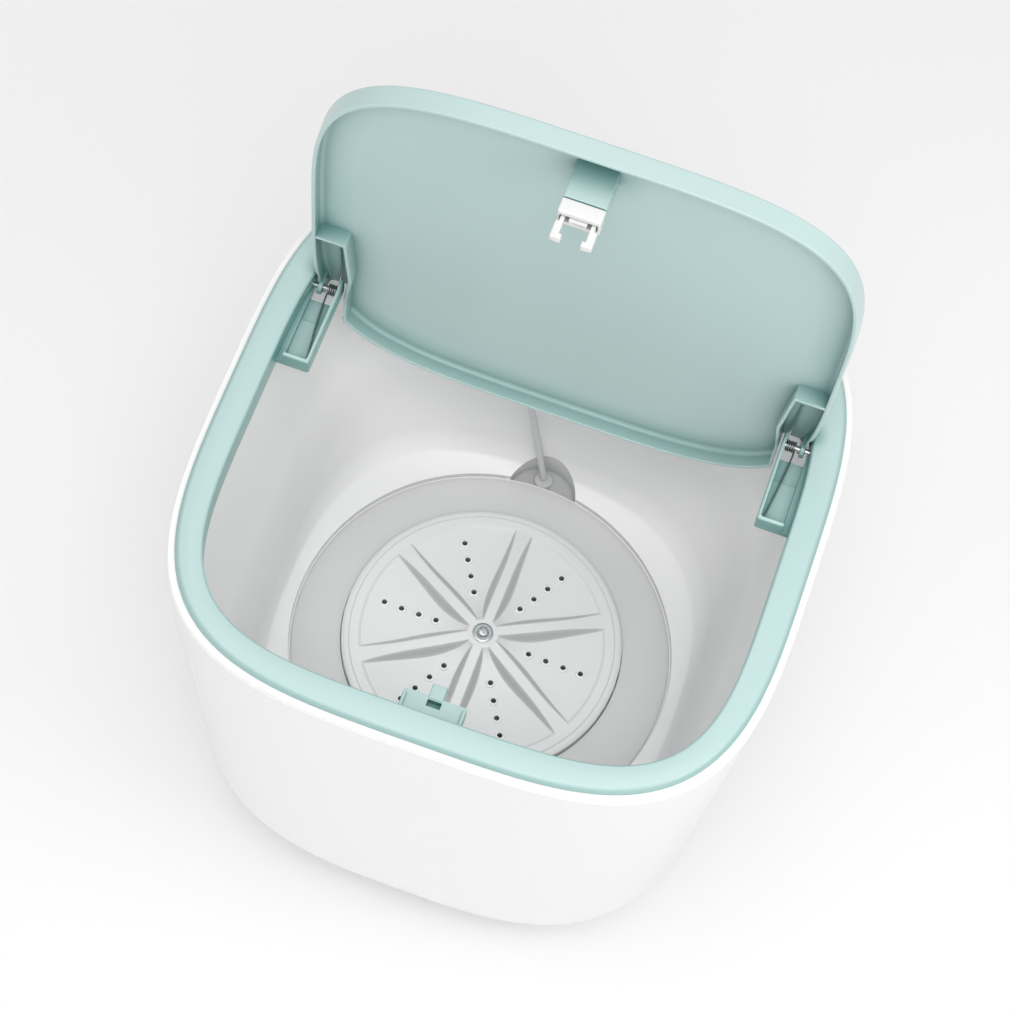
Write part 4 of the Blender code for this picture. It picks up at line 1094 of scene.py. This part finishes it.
def build_hinges():
    for side, word in SIDES:
        low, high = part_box("hinge_pin_" + word)
        tall = high.x - low.x
        tip = PIN_RADIUS * 0.7
        line = rounded([(tip, tall), (PIN_RADIUS, tall - 0.0004), (PIN_RADIUS, 0.0004), (tip, 0.0)], 0.0002)
        pin = turned("steel_pin_" + word, line, (low.x, HINGE_Y, HINGE_Z), (1, 0, 0), 32)
        dress(pin, "hinge_pin_" + word, STEEL_TURNED)
        coil = wire("torsion_coil_" + word, coil_with_leg(side), WIRE_RADIUS)
        dress(coil, "hinge_spring_" + word, DARK_WIRE, 60)
        bends = ((0.1328, 0.004, 0.0096), (0.1331, 0.0085, 0.005), (0.1336, 0.017, 0.0037),
                 (0.1344, 0.034, 0.0034))
        path = smooth_path([(side * x, HINGE_Y - reach, below(drop)) for x, reach, drop in bends], 6)
        leg = open_lid(wire("lid_leg_" + word, path, WIRE_RADIUS))
        dress(leg, "spring_lid_leg_" + word, STEEL_WIRE, 60)


# ---- pulsator ----
# radius, depth of the dished face between the ribs
DISH = (
    (CENTRE_HOLE, HUB_DROP), (0.008, HUB_DROP), (0.0095, 0.1764), (0.011, 0.1775), (0.018, 0.1806),
    (0.03, 0.1837), (0.042, 0.1848), (0.055, 0.185), (0.066, 0.1846), (DISH_END, DISH_DROP),
)


def rib_top(radius):
    t = min(max((radius - HUB_RADIUS) / (BAND_INNER - HUB_RADIUS), 0.0), 1.0)
    return toward(HUB_DROP, BAND_DROP, t)


def dish(radius):
    """Depth of the face between the ribs, rising to the outer band."""
    if radius >= DISH_END:
        t = min((radius - DISH_END) / (BAND_INNER - DISH_END), 1.0)
        return DISH_DROP + (BAND_DROP - DISH_DROP) * t * t * (3 - 2 * t)
    return max(interpolate(DISH, radius)[0], rib_top(radius))


def rib_half(radius):
    t = min(max((radius - 0.045) / 0.03, 0.0), 1.0)
    return RIB_HALF + RIB_FLARE * t * t


def face_row(radius):
    """One row round the pulsator's top: each rib's flat top, its two sloping flanks and the dish."""
    half_sector = pi / RIB_COUNT
    top, low = rib_top(radius), dish(radius)
    edge = min(asin(min(rib_half(radius) / radius, 1.0)), half_sector * 0.5)
    foot = min(edge + 0.85 * (low - top) / radius + 0.0004 / radius, half_sector * 0.86)
    columns = [(0.0, top), (edge * 0.5, top), (edge * 0.88, top)]
    for share in (0.0, 0.06, 0.16, 0.38, 0.62, 0.84, 0.94, 1.0):
        ease = share * share * (3 - 2 * share)
        columns.append((toward(edge, foot, share), toward(top, low, 0.4 * share + 0.6 * ease)))
    for share in (0.12, 0.35, 0.65, 1.0):
        columns.append((toward(foot, half_sector, share), low))
    columns = [(-angle, drop) for angle, drop in columns[:0:-1]][1:] + columns
    row = []
    for rib in range(RIB_COUNT):
        for offset, drop in columns:
            angle = RIB_TURN + 2 * pi * rib / RIB_COUNT + offset
            row.append((radius * cos(angle), AXLE_Y + radius * sin(angle), below(drop)))
    return row


def pulsator_rows():
    radii = [CENTRE_HOLE, 0.005, 0.0075, 0.0085, 0.0092, 0.01, 0.0108, 0.0118, 0.013, 0.0145, 0.0165,
             0.019]
    radii += [0.019 + 0.0026 * i for i in range(1, 20)]
    radii += [0.07, 0.0715, 0.0725, 0.0728, 0.0732, 0.0737, 0.0743, 0.0748, 0.0752]
    rows = [face_row(radius) for radius in radii]
    side = rounded([
        (0.076, BAND_DROP), (0.08, BAND_DROP), (0.0806, BAND_DROP + 0.0006), (0.0826, BAND_DROP + 0.0007),
        (0.0851, 0.1848), (0.0851, 0.1905), (0.082, 0.1905), (0.082, 0.1878), (0.012, 0.1866),
        (0.0118, 0.1922), (0.0043, 0.1922), (0.0043, 0.181), (CENTRE_HOLE, 0.181),
    ], [0, 0.0004, 0.0004, 0.0012, 0.0008, 0.0004, 0.0004, 0.0006, 0.0006, 0.0003, 0.0003, 0.0002, 0.0])
    directions = [Vector((x, y - AXLE_Y, 0)).normalized() for x, y, _ in rows[-1]]
    for radius, drop in side:
        rows.append([(d.x * radius, AXLE_Y + d.y * radius, below(drop)) for d in directions])
    return rows


def build_pulsator():
    disc = skin("pulsator_disc", pulsator_rows(), loop=True)
    collars = []
    spans = []
    for row in range(RIB_COUNT):
        angle = RIB_TURN + pi / RIB_COUNT + 2 * pi * row / RIB_COUNT
        for i in range(HOLES_PER_ROW):
            reach = HOLE_FIRST + HOLE_STEP * i
            x, y = reach * cos(angle), AXLE_Y + reach * sin(angle)
            face = below(dish(reach))
            spans.append(((x, y, below(0.195)), (x, y, below(0.175))))
            line = rounded([(0.0012, face - 0.0006), (0.0029, face - 0.0006), (0.003, face + 0.0006),
                            (0.0025, face + 0.0013), (0.0012, face + 0.0013)], 0.0004, steps=3)
            collars.append(turned("collar", line, (x, y, 0), steps=20))
    holes = rods("holes", spans, HOLE_RADIUS, 20)
    rims = gather("hole_rims", collars)
    combine(rims, "DIFFERENCE", [holes], keep=True)
    cut(disc, holes)
    dress(disc, "pulsator", PULSATOR_GREY, 50)
    # the hole rims get the lighter copy of the pulsator's grey, a painted highlight
    dress(rims, "pulsator", PULSATOR_RIMS_PAINTED_LIGHT)
    thick = 0.0008
    section = [(CENTRE_HOLE, 0.0), (0.0052, 0.0), (0.0062, -0.0003), (0.0062, -thick), (CENTRE_HOLE, -thick)]
    line = rounded(section, 0.0002, closed=True, steps=3)
    washer = turned("bright_washer", line, (0, AXLE_Y, below(0.1749)), steps=64, loop=True)
    dress(washer, "pulsator_washer", STEEL_TURNED)
    screw("pulsator_fixing", "pulsator_screw", 0.0036, 0.0019, 1)


# ---- drain ----
def build_drain():
    seat, grip = rod_ends()
    along = grip - seat
    tall = along.length
    line = rounded([(0.001, tall), (ROD_RADIUS, tall - 0.0005), (ROD_RADIUS, 0.0005), (0.001, 0.0)], 0.0004)
    pull = turned("pull_rod", line, seat, along, 40)
    cap = rounded([(0.002, 0.01), (0.0066, 0.0105), (0.0085, 0.009), (0.0078, 0.0048), (0.0088, 0.001),
                   (0.002, 0.001)], 0.0016, steps=6)
    knob = turned("knob", cap, (*KNOB, TOP), steps=96, lobes=12, depth=0.035)
    join(pull, knob)
    dress(pull, "drain_rod", PALE_ROD, 50)
    base, tall = stand(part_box("drain_plug"))
    section = [(0.002, tall), (0.005, tall), (0.006, tall - 0.0008), (0.006, 0.0006), (0.0052, 0.0)]
    stopper = turned("drain_stopper", rounded(section, 0.0003), base, steps=40)
    dress(stopper, "drain_plug", SEAL_GREY)
    barbs = [(0.005, 0.04), (0.0054, 0.0398), (0.0059, 0.036)]
    for i in range(3):
        barbs += [(0.0052, 0.0358 - 0.0032 * i), (0.0059, 0.033 - 0.0032 * i)]
    line = barbs + [(0.0059, 0.0), (0.0044, 0.0), (0.0044, 0.0396)]
    spout = turned("drain_spout", line, (DRAIN_X, 0.13, below(OUTLET_DROP)), (0, 1, 0), 48, True)
    dress(spout, "drain_outlet", PALE_PLASTIC, 25)


# ---- rear panel ----
def build_panel():
    low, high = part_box("rear_panel")
    panel = block("rear_plate", low, high, 0.0026, 5)
    button_low, button_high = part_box("power_button")
    inlet_low, inlet_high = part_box("power_inlet")
    button = (button_low + button_high) / 2
    inlet = (inlet_low + inlet_high) / 2
    border = 0.0035
    face = high - Vector((border, -0.004, border))
    cut(panel, block("sunk_face", low + Vector((border, 0.0056, border)), face, 0.0012))
    backwards = (0, 1, 0)
    rings = []
    wells = []
    for centre, inner, outer in ((button, 0.008, 0.0102), (inlet, 0.0071, 0.0092)):
        line = rounded([(inner, 0.0), (outer, 0.0), (outer, -0.0012), (inner, -0.0012)], 0.0004, True)
        rings.append(turned("ring", line, (centre.x, high.y, centre.z), backwards, 64, True))
        wells.append(rod("well", (centre.x, 0.15, centre.z), (centre.x, 0.175, centre.z), inner, 64))
    join(panel, *rings)
    cut(panel, *wells)
    dress(panel, "rear_panel", PALE_PLASTIC)
    tall = button_high.y - button_low.y
    line = rounded([(0.001, tall - 0.0009), (0.005, tall - 0.0005), (0.0068, tall), (0.0076, tall - 0.0006),
                    (0.0076, 0.0), (0.001, 0.0)], 0.0006)
    push = turned("push_button", line, (button.x, button_low.y, button.z), backwards, 64)
    dress(push, "power_button", MINT)
    tall = inlet_high.y - inlet_low.y
    base = (inlet.x, inlet_low.y, inlet.z)
    line = rounded([(0.0034, tall - 0.0006), (0.0042, tall), (0.0062, tall), (0.0068, tall - 0.0006),
                    (0.0068, 0.0), (0.004, 0.0)], 0.0003)
    socket = [(0.004, 0.006), (0.0034, 0.006)]
    body = turned("inlet_body", line + socket, base, backwards, 64, True)
    pin = [(0.0004, tall - 0.003), (0.0009, tall - 0.0036), (0.0009, 0.0005), (0.0042, 0.0005),
           (0.0042, 0.0001)]
    join(body, turned("contact", pin, base, backwards, 32))
    dress(body, "power_inlet", DARK_PLASTIC)


# ---- CAD nodes that stay ----
CARRIED = (
    (STEEL_TURNED, "drive_shaft motor_shaft bearing_upper bearing_lower pulley_nut"),
    (STEEL_TURNED, "latch_pin_left latch_pin_right housing_screw_1 housing_screw_2 housing_screw_3"),
    (STEEL_PRESSED, "motor_case"),
    (PALE_PLASTIC, "bearing_housing motor_bracket driven_pulley motor_pulley drain_spigot"),
    (BLACK_RUBBER, "shaft_seal"),
    (BELT_RUBBER, "drive_belt"),
    (HOSE_GREY, "drain_hose"),
    (DARK_PLASTIC, "power_switch"),
    (GREEN_BOARD, "control_board"),
)


def finish_carried():
    for material, names in CARRIED:
        for name in names.split():
            paint(NODES[name], material)


# ---- camera, light and floor ----
def build_camera():
    turn = (Matrix.Rotation(CAMERA_AZIMUTH, 4, "Z") @ Matrix.Rotation(pi / 2 - CAMERA_ELEVATION, 4, "X")
            @ Matrix.Rotation(CAMERA_ROLL, 4, "Z"))
    place = Vector((*CAMERA_TARGET, TOP)) + turn.col[2].xyz * CAMERA_DISTANCE
    data = bpy.data.cameras.new("camera")
    data.lens = CAMERA_LENS
    data.sensor_width = 36.0
    data.clip_start = 0.05
    camera = new_object("camera", data)
    camera.matrix_world = Matrix.Translation(place) @ turn
    bpy.context.scene.camera = camera


def softbox(name, place, target, size, power):
    data = bpy.data.lights.new(name, "AREA")
    data.shape = "RECTANGLE"
    data.size, data.size_y = size
    data.energy = power
    lamp = new_object(name, data)
    lamp.location = place
    lamp.rotation_mode = "QUATERNION"
    lamp.rotation_quaternion = (Vector(place) - Vector(target)).to_track_quat("Z", "Y")


def build_light():
    world = bpy.data.worlds.new("studio")
    world.use_nodes = True
    ambient = world.node_tree.nodes["Background"].inputs
    ambient["Color"].default_value = (1.0, 1.0, 1.0, 1.0)
    ambient["Strength"].default_value = 0.6
    bpy.context.scene.world = world
    middle = (0, 0, 0.25)
    softbox("overhead", (-0.2, -0.4, 4.0), middle, (3.6, 3.6), 50)
    softbox("key", (0.52, -0.2, 0.78), (0.08, 0.07, 0.42), (0.35, 0.35), 0.9)
    softbox("front", (0.6, -1.9, 1.3), middle, (1.6, 1.2), 6.5)
    softbox("fill", (0.2, -0.75, 2.1), middle, (0.8, 0.8), 6)
    bpy.context.scene.view_settings.view_transform = "Standard"


def build_floor():
    bm = bmesh.new()
    bmesh.ops.create_grid(bm, x_segments=8, y_segments=8, size=4.0)
    floor = from_bmesh("studio_floor", bm)
    nodes = Nodes("floor_paper")
    drift = nodes.spread(nodes.noise(1.2, 2.0), 0.0, 1.0)
    body = nodes.mix(drift, (0.9, 0.9, 0.9), (0.92, 0.92, 0.92))
    nodes.fill(nodes.shader, {"Base Color": body, "Roughness": 0.7, "Specular IOR Level": 0.2})
    nodes.bump(nodes.noise(300.0, 3.0), 0.04, 0.0005)
    paint(floor, nodes.material)


build_camera()
build_casing()
build_base()
build_tub()
build_rim()
build_lid()
build_latch()
build_hinges()
build_pulsator()
build_drain()
build_panel()
finish_carried()
build_light()
build_floor()
